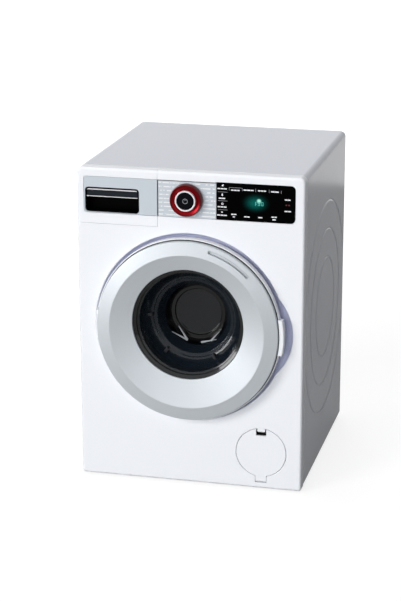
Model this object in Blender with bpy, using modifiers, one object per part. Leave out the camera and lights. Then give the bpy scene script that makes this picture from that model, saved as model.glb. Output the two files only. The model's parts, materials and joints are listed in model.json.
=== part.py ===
"""Toy washing machine, a front loader, as the separate pieces that it is assembled from.

Metres, +Z up, +X to the right seen from the front, +Y from the front to the back. The origin
lies on the ground under the middle of the whole toy's box. A depth is a distance into the body
from the plane of the front face, so what stands proud of that face has a negative depth.
"""

import math

import bmesh
import bpy
from mathutils import Vector

# Fits
SEAM = 0.0003                    # between pieces that touch
RUNNING_GAP = 0.0004             # around what turns or slides
SHUT_LINE = 0.0004               # around the drawer front and the flap
OVERRUN = 0.002                  # how far a cutter runs past what it cuts
JOIN_DEPTH = 0.0010              # how far a boss is sunk into the wall that carries it

# Body
BODY_WIDTH = 0.185
BODY_DEPTH = 0.186
BODY_HEIGHT = 0.262
WALL = 0.0025                    # cabinet, base and back
FRONT_WALL = 0.003
FRONT_DEPTH = 0.010              # how far the front mouldings wrap back
TOP_EDGE_RADIUS = 0.0045
BOTTOM_EDGE_RADIUS = 0.0025
FRONT_EDGE_RADIUS = 0.002
FOOT_STAND = 0.0015              # how far the feet lift the body
FOOT_POCKET = 0.0012
FOOT_RADIUS = 0.008
FOOT_INSET = 0.018               # foot centre from the body's sides
BASE_RIM = 0.005

# Rings pressed into the cabinet's sides
SIDE_RING_COUNT = 3
SIDE_RING_INNER = 0.042
SIDE_RING_STEP = 0.024
SIDE_RING_Z = 0.130
SIDE_RING_MARGIN = 0.004         # from the cabinet's front and back, where the largest ends
SIDE_GROOVE_WIDTH = 0.0024
SIDE_GROOVE_DEPTH = 0.0008

# Screws and their posts
SCREW_RADIUS = 0.0013
SCREW_BORE = 0.0016
SCREW_HEAD_RADIUS = 0.0029
SCREW_HEAD_HEIGHT = 0.0010
SCREW_LENGTH = 0.012
COUNTERBORE_RADIUS = 0.0033
COUNTERBORE_DEPTH = 0.0014
POST_SIZE = 0.010
POST_LENGTH = 0.020
POST_BASE_GAP = 0.009            # from the top of the base plate to a lower post

# Control strip, hung from the top edge
STRIP_TOP_MARGIN = 0.0074
STRIP_HEIGHT = 0.0292
STRIP_SIDE_MARGIN = 0.0059
STRIP_CORNER = 0.0025
PLATE_THICKNESS = 0.0010
PLATE_POCKET = 0.0013
PLATE_EDGE = 0.0002
LENS_LEFT = 0.022
LENS_TOP_MARGIN = 0.0068
LENS_HEIGHT = 0.0298
LENS_SIDE_MARGIN = 0.0078
LENS_CORNER = 0.0035
LENS_PROUD = 0.0003
MODULE_INSET = 0.009             # display module's side from the lens's side
MODULE_EDGE_INSET = 0.0055       # display module's top from the lens's top
MODULE_GAP = 0.0005
BOARD_DEPTH = 0.0143
BOARD_THICKNESS = 0.0016
BOARD_MARGIN = 0.0025            # board past the strip and the lens
BOARD_POST_RADIUS = 0.0025
BOARD_POST_INSET = 0.004

# Selector ring and its button
KNOB_X = -0.002
KNOB_TOP_MARGIN = 0.022
KNOB_RADIUS = 0.0132
KNOB_FACE_RADIUS = 0.0090
KNOB_HEIGHT = 0.0056
KNOB_RIM_HEIGHT = 0.0012
KNOB_POCKET_RADIUS = 0.0084
KNOB_POCKET_FLOOR = 0.0032
KNOB_TRIM_WALL = 0.0009
KNOB_TRIM_PROUD = 0.0006
SLEEVE_RADIUS = 0.0060
SLEEVE_BORE = 0.0047
SLEEVE_GAP = 0.0004
BUTTON_TRAVEL = 0.0015
BUTTON_HEIGHT = 0.0010
BUTTON_EDGE = 0.0003
ENCODER_RADIUS = 0.009
ENCODER_BORE = 0.0050
SWITCH_SIZE = 0.006
SWITCH_HEIGHT = 0.002

# Drawer
DRAWER_SEAM_X = -0.026
DRAWER_HEIGHT = 0.0456
RETURN_WALL = 0.002
GRIP_SIDE_MARGIN = 0.0081
GRIP_TOP_MARGIN = 0.0172
GRIP_WIDTH = 0.0421
GRIP_HEIGHT = 0.0176
GRIP_CORNER = 0.0018
GRIP_WALL = 0.0010
GRIP_BAR_HEIGHT = 0.0060
GRIP_BAR_DEPTH = 0.0030
HOUSING_WALL = 0.0015
HOUSING_LENGTH = 0.072
HOUSING_TOP_GAP = 0.004
TRAY_WALL = 0.0015
TRAY_LENGTH = 0.067
TRAY_TOP_GAP = 0.003
TRAY_POCKETS = 3
DRAWER_TRAVEL = 0.055

# Door dish
DISH_TOP_GAP = 0.0041            # under the drawer's lower seam
DISH_GAP = 0.0022                # around the door
DISH_COVE = 0.008
DISH_DEPTH = 0.007
DISH_WALL = 0.0025
DISH_COVE_STEPS = 3
DISH_BOSS_FOOT = 0.005           # boss past the dish's floor at its back
SCOOP_REACH = 0.006              # past the dish's edge, behind the handle
SCOOP_DROP = 0.0013              # below the dish's centre
SCOOP_RADIUS = 0.0454
GASKET_SEAT_REACH = 0.0041        # past the window's edge

# Door
DOOR_PROUD = 0.0135
RING_RADIUS = 0.0743
RING_EDGE_FRONT = 0.0111
RING_EDGE_ROUND = 0.0008
RING_BACK = 0.0073
RING_WALL = 0.0020
CREST_INSET = 0.0108             # crest from the ring's edge
WINDOW_RISE = 0.0048             # the window sits this much above the door's centre
WINDOW_RADIUS = 0.0457
WINDOW_LIP_FRONT = 0.0080
WINDOW_LIP_BACK = 0.0063
SHELL_REACH = 0.0015             # past the ring's edge
SHELL_TAPER = 0.0033
SHELL_TAPER_START = 0.0010       # proud of the front face
SHELL_BACK_DEPTH = 0.004
SHELL_WALL = 0.0020
HUB_REACH = 0.0008               # past the window's edge
HUB_WALL = 0.0030
HUB_FRONT = 0.0040               # proud of the front face
BOWL_RIM_INSET = 0.0017          # inside the window's edge
BOWL_NECK_DRAFT = 0.0015         # each from the radius before it
BOWL_SHOULDER_DRAFT = 0.0050
BOWL_SHOULDER_DEPTH = 0.014
BOWL_STEP_WIDTH = 0.0045
BOWL_NOSE_DRAFT = 0.0125
BOWL_DEPTH = 0.033
BOWL_WALL = 0.0020
BOWL_FLANGE_REACH = 0.0031       # past the window's edge
BOWL_FLANGE_THICKNESS = 0.0017
RETAINER_INSET = 0.0010          # inside the window's edge
RETAINER_WIDTH = 0.0113
RETAINER_THICKNESS = 0.002
RETAINER_ROUND = 0.0006

# Door hinge, at the left
HINGE_REACH = 0.0002             # axis past the ring's edge
HINGE_PROUD = 0.0046
KNUCKLE_RADIUS = 0.0022
KNUCKLE_HALF_HEIGHT = 0.0075
LUG_HEIGHT = 0.004
HINGE_PIN_RADIUS = 0.0010
HINGE_BORE_RADIUS = 0.0013
HINGE_NOTCH_REACH = 0.003        # from the axis towards the door's centre
HINGE_NOTCH_HEIGHT = 0.0070

# Door handle and latch, at the right
HANDLE_DROP = 0.0004             # below the door's centre
HANDLE_HEIGHT = 0.0294
HANDLE_REACH = 0.0044            # past the ring's edge
HANDLE_STEP_REACH = 0.0005       # past the ring's edge
HANDLE_ROOT_INSET = 0.0048       # inside the ring's edge
HANDLE_PROUD = 0.0095
HANDLE_STEP_PROUD = 0.0069
HANDLE_BACK_PROUD = 0.0030
HANDLE_EDGE = 0.0008
HOOK_INSET = 0.0038              # inside the ring's edge
HOOK_THICKNESS = 0.0025
HOOK_HEIGHT = 0.010
HOOK_DEPTH = 0.013
HOOK_SWING_ROOM = 0.0022
CATCH_WALL = 0.0025
CATCH_THICKNESS = 0.0055

# Tub and gasket
TUB_SIDE_GAP = 0.0045            # around the drum
TUB_WALL = 0.002
TUB_FRONT_DEPTH = 0.022
TUB_FRONT_THICKNESS = 0.0025
TUB_POST_RADIUS = 0.0035
TUB_POST_INSET = 0.006           # from the tub's outside
GASKET_WALL = 0.0015
GASKET_LIP_REACH = 0.0006        # past the window's edge
GASKET_FOLD = 0.0022
GASKET_FRONT_DEPTH = 0.0070
GASKET_END_GAP = 0.0014          # before the drum

# Drum
DRUM_WALL = 0.0015
DRUM_MOUTH_GAP = 0.0012          # drum's mouth past the gasket's seat
DRUM_LIP = 0.0085                # from the mouth to the wall's outside
DRUM_FRONT_GAP = 0.0025          # behind the tub's front plate
DRUM_BACK_GAP = 0.005            # before the tub's back wall
DRUM_BACK_THICKNESS = 0.003
DRUM_HUB_RADIUS = 0.008
DRUM_HUB_LENGTH = 0.006
DRUM_HOLE_RADIUS = 0.003
DRUM_HOLE_ROWS = 3
DRUM_HOLES_AROUND = 9
DRUM_HOLE_SIDES = 6
DRUM_HOLE_MARGIN = 0.018         # first and last rows from the drum's ends
PADDLE_COUNT = 3
PADDLE_BASE = 0.014
PADDLE_TIP = 0.004
PADDLE_RISE = 0.013
PADDLE_END_GAP = 0.004           # from the drum's ends
SHAFT_RADIUS = 0.003
BUSH_RADIUS = 0.0041
BUSH_LENGTH = 0.0075
BEARING_BOSS_RADIUS = 0.008
BEARING_BOSS_LENGTH = 0.0085

# Drive
DRUM_GEAR_TEETH = 48
IDLER_PINION_TEETH = 16
DRUM_GEAR_MODULE = 0.00125
IDLER_WHEEL_TEETH = 36
MOTOR_PINION_TEETH = 12
MOTOR_GEAR_MODULE = 0.001
PRESSURE_ANGLE = math.radians(20)
ADDENDUM_SHARE = 0.80            # of the module, stub teeth
DEDENDUM_SHARE = 1.15            # of the module
BACKLASH_SHARE = 0.16            # of the module
UNDERCUT_SHARE = 0.2             # of the module, where a straight foot starts
DRUM_GEAR_WIDTH = 0.006
DRUM_GEAR_GAP = 0.0085           # behind the tub's back
IDLER_WHEEL_WIDTH = 0.004
IDLER_WHEEL_GAP = 0.0012         # behind the drum gear
IDLER_AXLE_RADIUS = 0.0015
IDLER_BOSS_RADIUS = 0.0035
MOTOR_SHAFT_RADIUS = 0.001
GEARBOX_PLATE_THICKNESS = 0.0025
GEARBOX_PLATE_GAP = 0.0023       # behind the idler wheel
GEARBOX_PLATE_HALF_WIDTH = 0.040
GEARBOX_PLATE_MARGIN = 0.021     # past the drum shaft above and the motor below
GEARBOX_POST_RADIUS = 0.003
GEARBOX_POST_X = 0.035
GEARBOX_POST_RISE = 0.016        # upper posts above the drum axis
GEARBOX_POST_DROP = 0.045        # lower posts below the drum axis
MOTOR_RADIUS = 0.011
MOTOR_LENGTH = 0.0235
MOTOR_BACK_GAP = 0.0022          # before the back cover
MOTOR_BOSS_RADIUS = 0.0032

# Service flap
FLAP_SIDE_MARGIN = 0.0333        # flap's centre from the body's right side
FLAP_Z = 0.0326
FLAP_RADIUS = 0.0205
FLAP_THICKNESS = 0.002
FLAP_TAB_WIDTH = 0.0089
FLAP_HINGE_DROP = 0.0240         # hinge line below the flap's centre
FLAP_BARREL_RADIUS = 0.0017
FLAP_PIN_RADIUS = 0.0007
FLAP_PIN_BORE = 0.0010
FLAP_PIN_OVERHANG = 0.0032
FLAP_NOTCH_WIDTH = 0.0084
FLAP_NOTCH_HEIGHT = 0.0044
FLAP_NOTCH_RISE = 0.0168         # notch's middle above the flap's centre
FLAP_NOTCH_CORNER = 0.0008
WELL_RADIUS = 0.0226
WELL_WALL = 0.0015
WELL_LENGTH = 0.015

# Batteries
CELL_RADIUS = 0.007
CELL_LENGTH = 0.050
CELL_COUNT = 2
CELL_GAP = 0.0004
TIP_RADIUS = 0.0027
TIP_LENGTH = 0.001
BATTERY_WALL = 0.0015
BATTERY_BOSS_HEIGHT = 0.0075
BATTERY_DOOR_MARGIN = 0.0018     # door past the tray's pocket

# Speaker
SPEAKER_SIDE_MARGIN = 0.0475
SPEAKER_TOP_MARGIN = 0.057
SPEAKER_RADIUS = 0.015
SPEAKER_RIM_LENGTH = 0.006
SPEAKER_MAGNET_RADIUS = 0.008
SPEAKER_LENGTH = 0.013
SLOT_COUNT = 5
SLOT_WIDTH = 0.002
SLOT_PITCH = 0.0045
SLOT_LENGTH = 0.020

# Roundness
DISH_STEPS = 56
DOOR_STEPS = 48
DRUM_STEPS = 40
SMALL_STEPS = 28
PIN_STEPS = 12
CORNER_STEPS = 3
ROUNDING_STEPS = 2
SHARP_ANGLE = math.radians(32)
WELD_DISTANCE = 0.00001

# Worked out from the sizes above
FRONT_Y = (DOOR_PROUD - BODY_DEPTH) / 2
BODY_BOTTOM = FOOT_STAND
HALF_WIDTH = BODY_WIDTH / 2
INNER_HALF_WIDTH = HALF_WIDTH - WALL
INNER_TOP = BODY_HEIGHT - WALL
BASE_TOP = BODY_BOTTOM + WALL
CABINET_DEPTH = FRONT_DEPTH + SEAM
COVER_DEPTH = BODY_DEPTH - WALL
STRIP_TOP = BODY_HEIGHT - STRIP_TOP_MARGIN
STRIP_LOW = STRIP_TOP - STRIP_HEIGHT
STRIP_LEFT = STRIP_SIDE_MARGIN - HALF_WIDTH
LENS_TOP = BODY_HEIGHT - LENS_TOP_MARGIN
LENS_LOW = LENS_TOP - LENS_HEIGHT
LENS_RIGHT = HALF_WIDTH - LENS_SIDE_MARGIN
KNOB_Z = BODY_HEIGHT - KNOB_TOP_MARGIN
DRAWER_LOW = BODY_HEIGHT - DRAWER_HEIGHT
GRIP_LEFT = GRIP_SIDE_MARGIN - HALF_WIDTH
GRIP_RIGHT = GRIP_LEFT + GRIP_WIDTH
GRIP_TOP = BODY_HEIGHT - GRIP_TOP_MARGIN
GRIP_LOW = GRIP_TOP - GRIP_HEIGHT
SHELL_RADIUS = RING_RADIUS + SHELL_REACH
SHELL_BACK_RADIUS = SHELL_RADIUS - SHELL_TAPER
CREST_RADIUS = RING_RADIUS - CREST_INSET
DISH_RADIUS = SHELL_RADIUS + DISH_GAP
DISH_FLOOR_RADIUS = DISH_RADIUS - DISH_COVE
DISH_BACK = DISH_DEPTH + DISH_WALL
DISH_Z = DRAWER_LOW - DISH_TOP_GAP - DISH_RADIUS
SCOOP_FLOOR_RADIUS = SCOOP_RADIUS - DISH_COVE
SCOOP_X = DISH_RADIUS + SCOOP_REACH - SCOOP_RADIUS
SCOOP_Z = DISH_Z - SCOOP_DROP
HINGE_X = -RING_RADIUS - HINGE_REACH
HINGE_NOTCH_X = HINGE_X + HINGE_NOTCH_REACH
HANDLE_Z = DISH_Z - HANDLE_DROP
HANDLE_OUTER_X = RING_RADIUS + HANDLE_REACH
HANDLE_STEP_X = RING_RADIUS + HANDLE_STEP_REACH
HANDLE_INNER_X = RING_RADIUS - HANDLE_ROOT_INSET
HOOK_X = RING_RADIUS - HOOK_INSET
HUB_RADIUS = WINDOW_RADIUS + HUB_REACH
BOWL_RIM_RADIUS = WINDOW_RADIUS - BOWL_RIM_INSET
BOWL_NECK_RADIUS = BOWL_RIM_RADIUS - BOWL_NECK_DRAFT
BOWL_SHOULDER_RADIUS = BOWL_NECK_RADIUS - BOWL_SHOULDER_DRAFT
BOWL_STEP_RADIUS = BOWL_SHOULDER_RADIUS - BOWL_STEP_WIDTH
BOWL_FLAT_RADIUS = BOWL_STEP_RADIUS - BOWL_NOSE_DRAFT
BOWL_FLANGE_RADIUS = WINDOW_RADIUS + BOWL_FLANGE_REACH
RETAINER_INNER = WINDOW_RADIUS - RETAINER_INSET
RETAINER_OUTER = RETAINER_INNER + RETAINER_WIDTH
DRUM_Z = DISH_Z + WINDOW_RISE
GASKET_SEAT_RADIUS = WINDOW_RADIUS + GASKET_SEAT_REACH
GASKET_INNER = WINDOW_RADIUS + GASKET_LIP_REACH
DRUM_MOUTH_RADIUS = GASKET_SEAT_RADIUS + DRUM_MOUTH_GAP
DRUM_RADIUS = DRUM_MOUTH_RADIUS + DRUM_LIP
TUB_RADIUS = DRUM_RADIUS + TUB_SIDE_GAP + TUB_WALL
PLATE_BACK = COVER_DEPTH - MOTOR_BACK_GAP - MOTOR_LENGTH - SEAM
PLATE_DEPTH = PLATE_BACK - GEARBOX_PLATE_THICKNESS
IDLER_WHEEL_DEPTH = PLATE_DEPTH - GEARBOX_PLATE_GAP - IDLER_WHEEL_WIDTH
DRUM_GEAR_DEPTH = IDLER_WHEEL_DEPTH - IDLER_WHEEL_GAP - DRUM_GEAR_WIDTH
TUB_BACK_DEPTH = DRUM_GEAR_DEPTH - DRUM_GEAR_GAP
TUB_POST_CIRCLE = TUB_RADIUS - TUB_POST_INSET
DRUM_FRONT_DEPTH = TUB_FRONT_DEPTH + TUB_FRONT_THICKNESS + DRUM_FRONT_GAP
DRUM_BACK_DEPTH = TUB_BACK_DEPTH - TUB_WALL - DRUM_BACK_GAP
DRUM_FLOOR_DEPTH = DRUM_BACK_DEPTH - DRUM_BACK_THICKNESS
GASKET_BACK_DEPTH = DRUM_FRONT_DEPTH - GASKET_END_GAP
PADDLE_FRONT_DEPTH = DRUM_FRONT_DEPTH + PADDLE_END_GAP
PADDLE_BACK_DEPTH = DRUM_FLOOR_DEPTH - PADDLE_END_GAP
IDLER_Z = DRUM_Z - DRUM_GEAR_MODULE * (DRUM_GEAR_TEETH + IDLER_PINION_TEETH) / 2
MOTOR_Z = IDLER_Z - MOTOR_GEAR_MODULE * (IDLER_WHEEL_TEETH + MOTOR_PINION_TEETH) / 2
FLAP_X = HALF_WIDTH - FLAP_SIDE_MARGIN
FLAP_HINGE_Z = FLAP_Z - FLAP_HINGE_DROP
SPEAKER_X = HALF_WIDTH - SPEAKER_SIDE_MARGIN
SPEAKER_Z = BODY_HEIGHT - SPEAKER_TOP_MARGIN
BOARD_POST_END = BOARD_DEPTH - SEAM
SLEEVE_END = FRONT_DEPTH

COLLECTION_NAME = "toy_washing_machine"
CUTTERS_NAME = "cutters"


def srgb(red, green, blue):
    """Turn a colour of 0 to 255 into the linear values that a shader takes."""
    levels = [channel / 255 for channel in (red, green, blue)]
    linear = [level / 12.92 if level <= 0.04045 else ((level + 0.055) / 1.055) ** 2.4 for level in levels]
    return (*linear, 1.0)


# name: colour, roughness, metallic, alpha
FINISHES = {
    "white_plastic": (srgb(236, 239, 248), 0.32, 0.0, 1.0),
    "silver_paint": (srgb(200, 208, 216), 0.36, 0.45, 1.0),
    "ring_silver": (srgb(208, 215, 222), 0.30, 0.50, 1.0),
    "black_gloss": (srgb(12, 13, 15), 0.08, 0.0, 1.0),
    "black_plastic": (srgb(24, 25, 27), 0.45, 0.0, 1.0),
    "red_gloss": (srgb(170, 10, 24), 0.14, 0.0, 1.0),
    "chrome_trim": (srgb(232, 234, 238), 0.12, 0.9, 1.0),
    "smoked_window": (srgb(38, 40, 46), 0.06, 0.0, 0.42),
    "grey_plastic": (srgb(74, 78, 84), 0.45, 0.0, 1.0),
    "drum_silver": (srgb(120, 124, 130), 0.34, 0.5, 1.0),
    "grey_rubber": (srgb(62, 66, 72), 0.75, 0.0, 1.0),
    "black_rubber": (srgb(28, 28, 30), 0.85, 0.0, 1.0),
    "steel": (srgb(170, 172, 176), 0.28, 1.0, 1.0),
    "brass": (srgb(196, 160, 92), 0.32, 1.0, 1.0),
    "gear_plastic": (srgb(228, 222, 206), 0.50, 0.0, 1.0),
    "board_green": (srgb(26, 92, 58), 0.50, 0.0, 1.0),
    "cell_jacket": (srgb(70, 104, 140), 0.30, 0.2, 1.0),
}


def clear_scene():
    """Remove what the open file holds."""
    for obj in list(bpy.data.objects):
        bpy.data.objects.remove(obj, do_unlink=True)


def collection(name):
    """Return the named collection of the scene, made on its first use."""
    found = bpy.data.collections.get(name)
    if found is None:
        found = bpy.data.collections.new(name)
        bpy.context.scene.collection.children.link(found)
    return found


def finish_material(name):
    """Return the named material, made on its first use."""
    found = bpy.data.materials.get(name)
    if found is not None:
        return found
    colour, roughness, metallic, alpha = FINISHES[name]
    made = bpy.data.materials.new(name)
    made.use_nodes = True
    made.diffuse_color = colour
    shader = made.node_tree.nodes["Principled BSDF"]
    shader.inputs["Base Color"].default_value = colour
    shader.inputs["Roughness"].default_value = roughness
    shader.inputs["Metallic"].default_value = metallic
    shader.inputs["Alpha"].default_value = alpha
    return made


def place(x, depth, z):
    """A point of the part's frame from its depth behind the front face."""
    return Vector((x, FRONT_Y + depth, z))


def add(name, bm):
    """Make an object from a bmesh and free the bmesh."""
    mesh = bpy.data.meshes.new(name)
    bm.to_mesh(mesh)
    bm.free()
    obj = bpy.data.objects.new(name, mesh)
    collection(COLLECTION_NAME).objects.link(obj)
    return obj


def as_cutter(obj):
    """Put a helper solid with the cutters, out of the model."""
    for owner in list(obj.users_collection):
        owner.objects.unlink(obj)
    collection(CUTTERS_NAME).objects.link(obj)
    obj.hide_render = True
    obj.display_type = "WIRE"
    return obj


def boolean(obj, other, operation):
    """Add an exact Boolean to an object, with another solid as its helper."""
    modifier = obj.modifiers.new(other.name, "BOOLEAN")
    modifier.operation = operation
    modifier.solver = "EXACT"
    modifier.object = as_cutter(other)
    return obj


def cut(obj, *others):
    """Cut solids out of an object."""
    for other in others:
        boolean(obj, other, "DIFFERENCE")
    return obj


def join(obj, *others):
    """Join solids to an object."""
    for other in others:
        boolean(obj, other, "UNION")
    return obj


def finish(obj, material, carrier=None):
    """Give a piece its material, its shading and the empty that it moves with."""
    obj.data.materials.append(finish_material(material))
    obj.data.shade_smooth()
    obj.data.set_sharp_from_angle(angle=SHARP_ANGLE)
    if carrier is not None:
        obj.parent = carrier
        obj.matrix_parent_inverse = carrier.matrix_world.inverted()
    return obj


def axis_empty(name, location):
    """An empty on a joint's axis, which carries the pieces that move about it."""
    empty = bpy.data.objects.new(name, None)
    empty.location = location
    collection(COLLECTION_NAME).objects.link(empty)
    bpy.context.view_layer.update()
    return empty


def block(name, across, depths, heights):
    """A box between two values of x, of depth and of z."""
    low = place(across[0], depths[0], heights[0])
    high = place(across[1], depths[1], heights[1])
    bm = bmesh.new()
    bmesh.ops.create_cube(bm, size=1)
    bmesh.ops.scale(bm, vec=high - low, verts=bm.verts)
    obj = add(name, bm)
    obj.location = (low + high) / 2
    return obj


def rod(name, radius, start, end, steps=PIN_STEPS):
    """A round bar between two points of the part's frame."""
    bm = bmesh.new()
    bmesh.ops.create_cone(bm, cap_ends=True, segments=steps, radius1=radius, radius2=radius,
                          depth=(end - start).length)
    obj = add(name, bm)
    obj.location = (start + end) / 2
    obj.rotation_euler = (end - start).to_track_quat("Z", "Y").to_euler()
    return obj


def disc(name, radius, x, z, depths, steps=PIN_STEPS):
    """A round bar that runs straight back from the front."""
    return rod(name, radius, place(x, depths[0], z), place(x, depths[1], z), steps)


def turned(name, profile, centre, steps, turn=0.0):
    """A solid turned about the depth axis, from (radius, depth) points.

    A profile that starts and ends on the axis is solid there, and any other is a closed loop.
    With a turn of a right angle about +Z the axis runs across the body instead.
    """
    area = sum(a[0] * b[1] - b[0] * a[1] for a, b in zip(profile, profile[1:] + profile[:1]))
    points = profile if area > 0 else profile[::-1]
    bm = bmesh.new()
    verts = [bm.verts.new((radius, depth, 0)) for radius, depth in points]
    for first, second in zip(verts, verts[1:]):
        bm.edges.new((first, second))
    if points[0][0] > 0 or points[-1][0] > 0:
        bm.edges.new((verts[-1], verts[0]))
    obj = add(name, bm)
    obj.location = centre
    obj.rotation_euler.z = turn
    screw = obj.modifiers.new("turn", "SCREW")
    screw.axis = "Y"
    screw.steps = steps
    screw.render_steps = steps
    screw.use_merge_vertices = True
    screw.merge_threshold = WELD_DISTANCE
    screw.use_normal_flip = True
    return obj


def turned_at(name, profile, x, z, steps):
    """A turned solid whose profile gives depths behind the front face."""
    return turned(name, profile, place(x, 0, z), steps)


def extruded(name, outline, depths, front_round=0.0):
    """A solid with an outline of (x, z) points, run between two depths."""
    bm = bmesh.new()
    verts = [bm.verts.new(place(x, depths[0], z)) for x, z in outline]
    front = bm.faces.new(verts)
    run = bmesh.ops.extrude_face_region(bm, geom=[front])
    moved = [item for item in run["geom"] if isinstance(item, bmesh.types.BMVert)]
    bmesh.ops.translate(bm, vec=Vector((0, depths[1] - depths[0], 0)), verts=moved)
    bmesh.ops.recalc_face_normals(bm, faces=bm.faces)
    if front_round:
        edges = [edge for edge in bm.edges if all(vert in verts for vert in edge.verts)]
        bmesh.ops.bevel(bm, geom=edges, offset=front_round, segments=ROUNDING_STEPS, profile=0.5,
                        affect="EDGES", offset_type="OFFSET", clamp_overlap=True)
    return add(name, bm)


def lofted(name, sections, x, z, steps):
    """A closed ring lofted through circles of (radius, depth, rise) in turn."""
    bm = bmesh.new()
    rings = []
    for radius, depth, rise in sections:
        angles = [math.tau * step / steps for step in range(steps)]
        rings.append([bm.verts.new(place(x + radius * math.cos(angle), depth,
                                         z + rise + radius * math.sin(angle))) for angle in angles])
    for ring, following in zip(rings, rings[1:] + rings[:1]):
        for step in range(steps):
            after = (step + 1) % steps
            bm.faces.new((ring[step], ring[after], following[after], following[step]))
    bmesh.ops.recalc_face_normals(bm, faces=bm.faces)
    return add(name, bm)


def arc(x, z, radius, start, end, steps):
    """Points along an arc, from one angle to another."""
    angles = [start + (end - start) * step / steps for step in range(steps + 1)]
    return [(x + radius * math.cos(angle), z + radius * math.sin(angle)) for angle in angles]


def rounded_outline(across, heights, corners):
    """A rectangle's outline with its own radius at each corner.

    The corners run anticlockwise from the lower left, seen from the front.
    """
    (left, right), (low, high) = across, heights
    centres = ((left, low, 1, 1, 2), (right, low, -1, 1, 3), (right, high, -1, -1, 0), (left, high, 1, -1, 1))
    outline = []
    for (x, z, inward_x, inward_z, quarter), radius in zip(centres, corners):
        if not radius:
            outline.append((x, z))
            continue
        start = quarter * math.pi / 2
        outline += arc(x + inward_x * radius, z + inward_z * radius, radius, start,
                       start + math.pi / 2, CORNER_STEPS)
    return outline


def body_slab(name, depths, front_round=0.0):
    """The body's outline between two depths."""
    corners = (BOTTOM_EDGE_RADIUS, BOTTOM_EDGE_RADIUS, TOP_EDGE_RADIUS, TOP_EDGE_RADIUS)
    outline = rounded_outline((-HALF_WIDTH, HALF_WIDTH), (BODY_BOTTOM, BODY_HEIGHT), corners)
    return extruded(name, outline, depths, front_round)


def screw(name, x, z):
    """A screw driven from the back, with its head in a counterbore."""
    head = COVER_DEPTH + WALL - COUNTERBORE_DEPTH + SEAM
    profile = [
        (0, head - SCREW_LENGTH),
        (SCREW_RADIUS, head - SCREW_LENGTH),
        (SCREW_RADIUS, head),
        (SCREW_HEAD_RADIUS, head),
        (SCREW_HEAD_RADIUS, head + SCREW_HEAD_HEIGHT),
        (0, head + SCREW_HEAD_HEIGHT),
    ]
    return finish(turned_at(name, profile, x, z, PIN_STEPS), "steel")


def cut_screw_hole(obj, name, x, z):
    """A counterbored screw hole through a plate at the back of the body."""
    shoulder = BODY_DEPTH - COUNTERBORE_DEPTH
    profile = [
        (0, COVER_DEPTH - OVERRUN),
        (SCREW_BORE, COVER_DEPTH - OVERRUN),
        (SCREW_BORE, shoulder),
        (COUNTERBORE_RADIUS, shoulder),
        (COUNTERBORE_RADIUS, BODY_DEPTH + OVERRUN),
        (0, BODY_DEPTH + OVERRUN),
    ]
    cut(obj, turned_at(name, profile, x, z, PIN_STEPS))


def rear_screw_places():
    """The four back screws, each with its sides of the body."""
    x = INNER_HALF_WIDTH - POST_SIZE / 2
    low = BASE_TOP + POST_BASE_GAP + POST_SIZE / 2
    high = INNER_TOP - POST_SIZE / 2
    return [(side * x, z) for side in (-1, 1) for z in (low, high)]


def cove_profile(radius, floor_radius, depth):
    """A dish's wall from the front face to its floor, a quarter of an ellipse."""
    angles = [math.pi / 2 * step / DISH_COVE_STEPS for step in range(DISH_COVE_STEPS + 1)]
    return [(floor_radius + (radius - floor_radius) * math.cos(angle), depth * math.sin(angle))
            for angle in angles]


def dish_cutter(name, radius, floor_radius, x, z):
    """The hollow of a dish, closed in front of the face."""
    profile = [(0, -OVERRUN), (radius, -OVERRUN)] + cove_profile(radius, floor_radius, DISH_DEPTH)
    return turned_at(name, profile + [(0, DISH_DEPTH)], x, z, DISH_STEPS)


def dish_boss(name, radius, floor_radius, x, z):
    """The material behind a dish, sunk into the front wall."""
    start = FRONT_WALL - JOIN_DEPTH
    profile = [
        (0, start),
        (radius + DISH_WALL, start),
        (floor_radius + DISH_BOSS_FOOT, DISH_BACK),
        (0, DISH_BACK),
    ]
    return turned_at(name, profile, x, z, DISH_STEPS)


def hinge_lug(name, low, high):
    """One ear of the door hinge, from the dish's floor to the hinge axis."""
    pivot = rod(name, KNUCKLE_RADIUS, place(HINGE_X, -HINGE_PROUD, low), place(HINGE_X, -HINGE_PROUD, high))
    arm = block(name + "_arm", (HINGE_X - KNUCKLE_RADIUS, HINGE_X + KNUCKLE_RADIUS),
                (-HINGE_PROUD, DISH_DEPTH + JOIN_DEPTH), (low, high))
    return join(pivot, arm)


def tub_post_places():
    """Where the tub's front plate is carried by the front panel."""
    reach = TUB_POST_CIRCLE * math.sqrt(0.5)
    return [(across * reach, DRUM_Z + up * reach) for across in (-1, 1) for up in (-1, 1)]


def board_post_places():
    """Where the control board is carried by the front panel."""
    left = DRAWER_SEAM_X + RETURN_WALL + SEAM + BOARD_POST_INSET
    right = LENS_RIGHT + BOARD_MARGIN - BOARD_POST_INSET
    low = STRIP_LOW - BOARD_MARGIN + BOARD_POST_INSET
    high = STRIP_TOP + BOARD_MARGIN - BOARD_POST_INSET
    return [(x, z) for x in (left, right) for z in (low, high)]


def module_span():
    """The display module's width and height behind the lens."""
    return ((LENS_LEFT + MODULE_INSET, LENS_RIGHT - MODULE_INSET),
            (LENS_LOW + MODULE_EDGE_INSET, LENS_TOP - MODULE_EDGE_INSET))


def grown(span, margin):
    """A span made longer by a margin at both ends."""
    return (span[0] - margin, span[1] + margin)


def hook_slot(margin):
    """The room that the latch hook needs across and in height, to swing out."""
    across = (HOOK_X - margin, HOOK_X + HOOK_THICKNESS + HOOK_SWING_ROOM)
    return across, (HANDLE_Z - HOOK_HEIGHT / 2 - margin, HANDLE_Z + HOOK_HEIGHT / 2 + margin)


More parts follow.
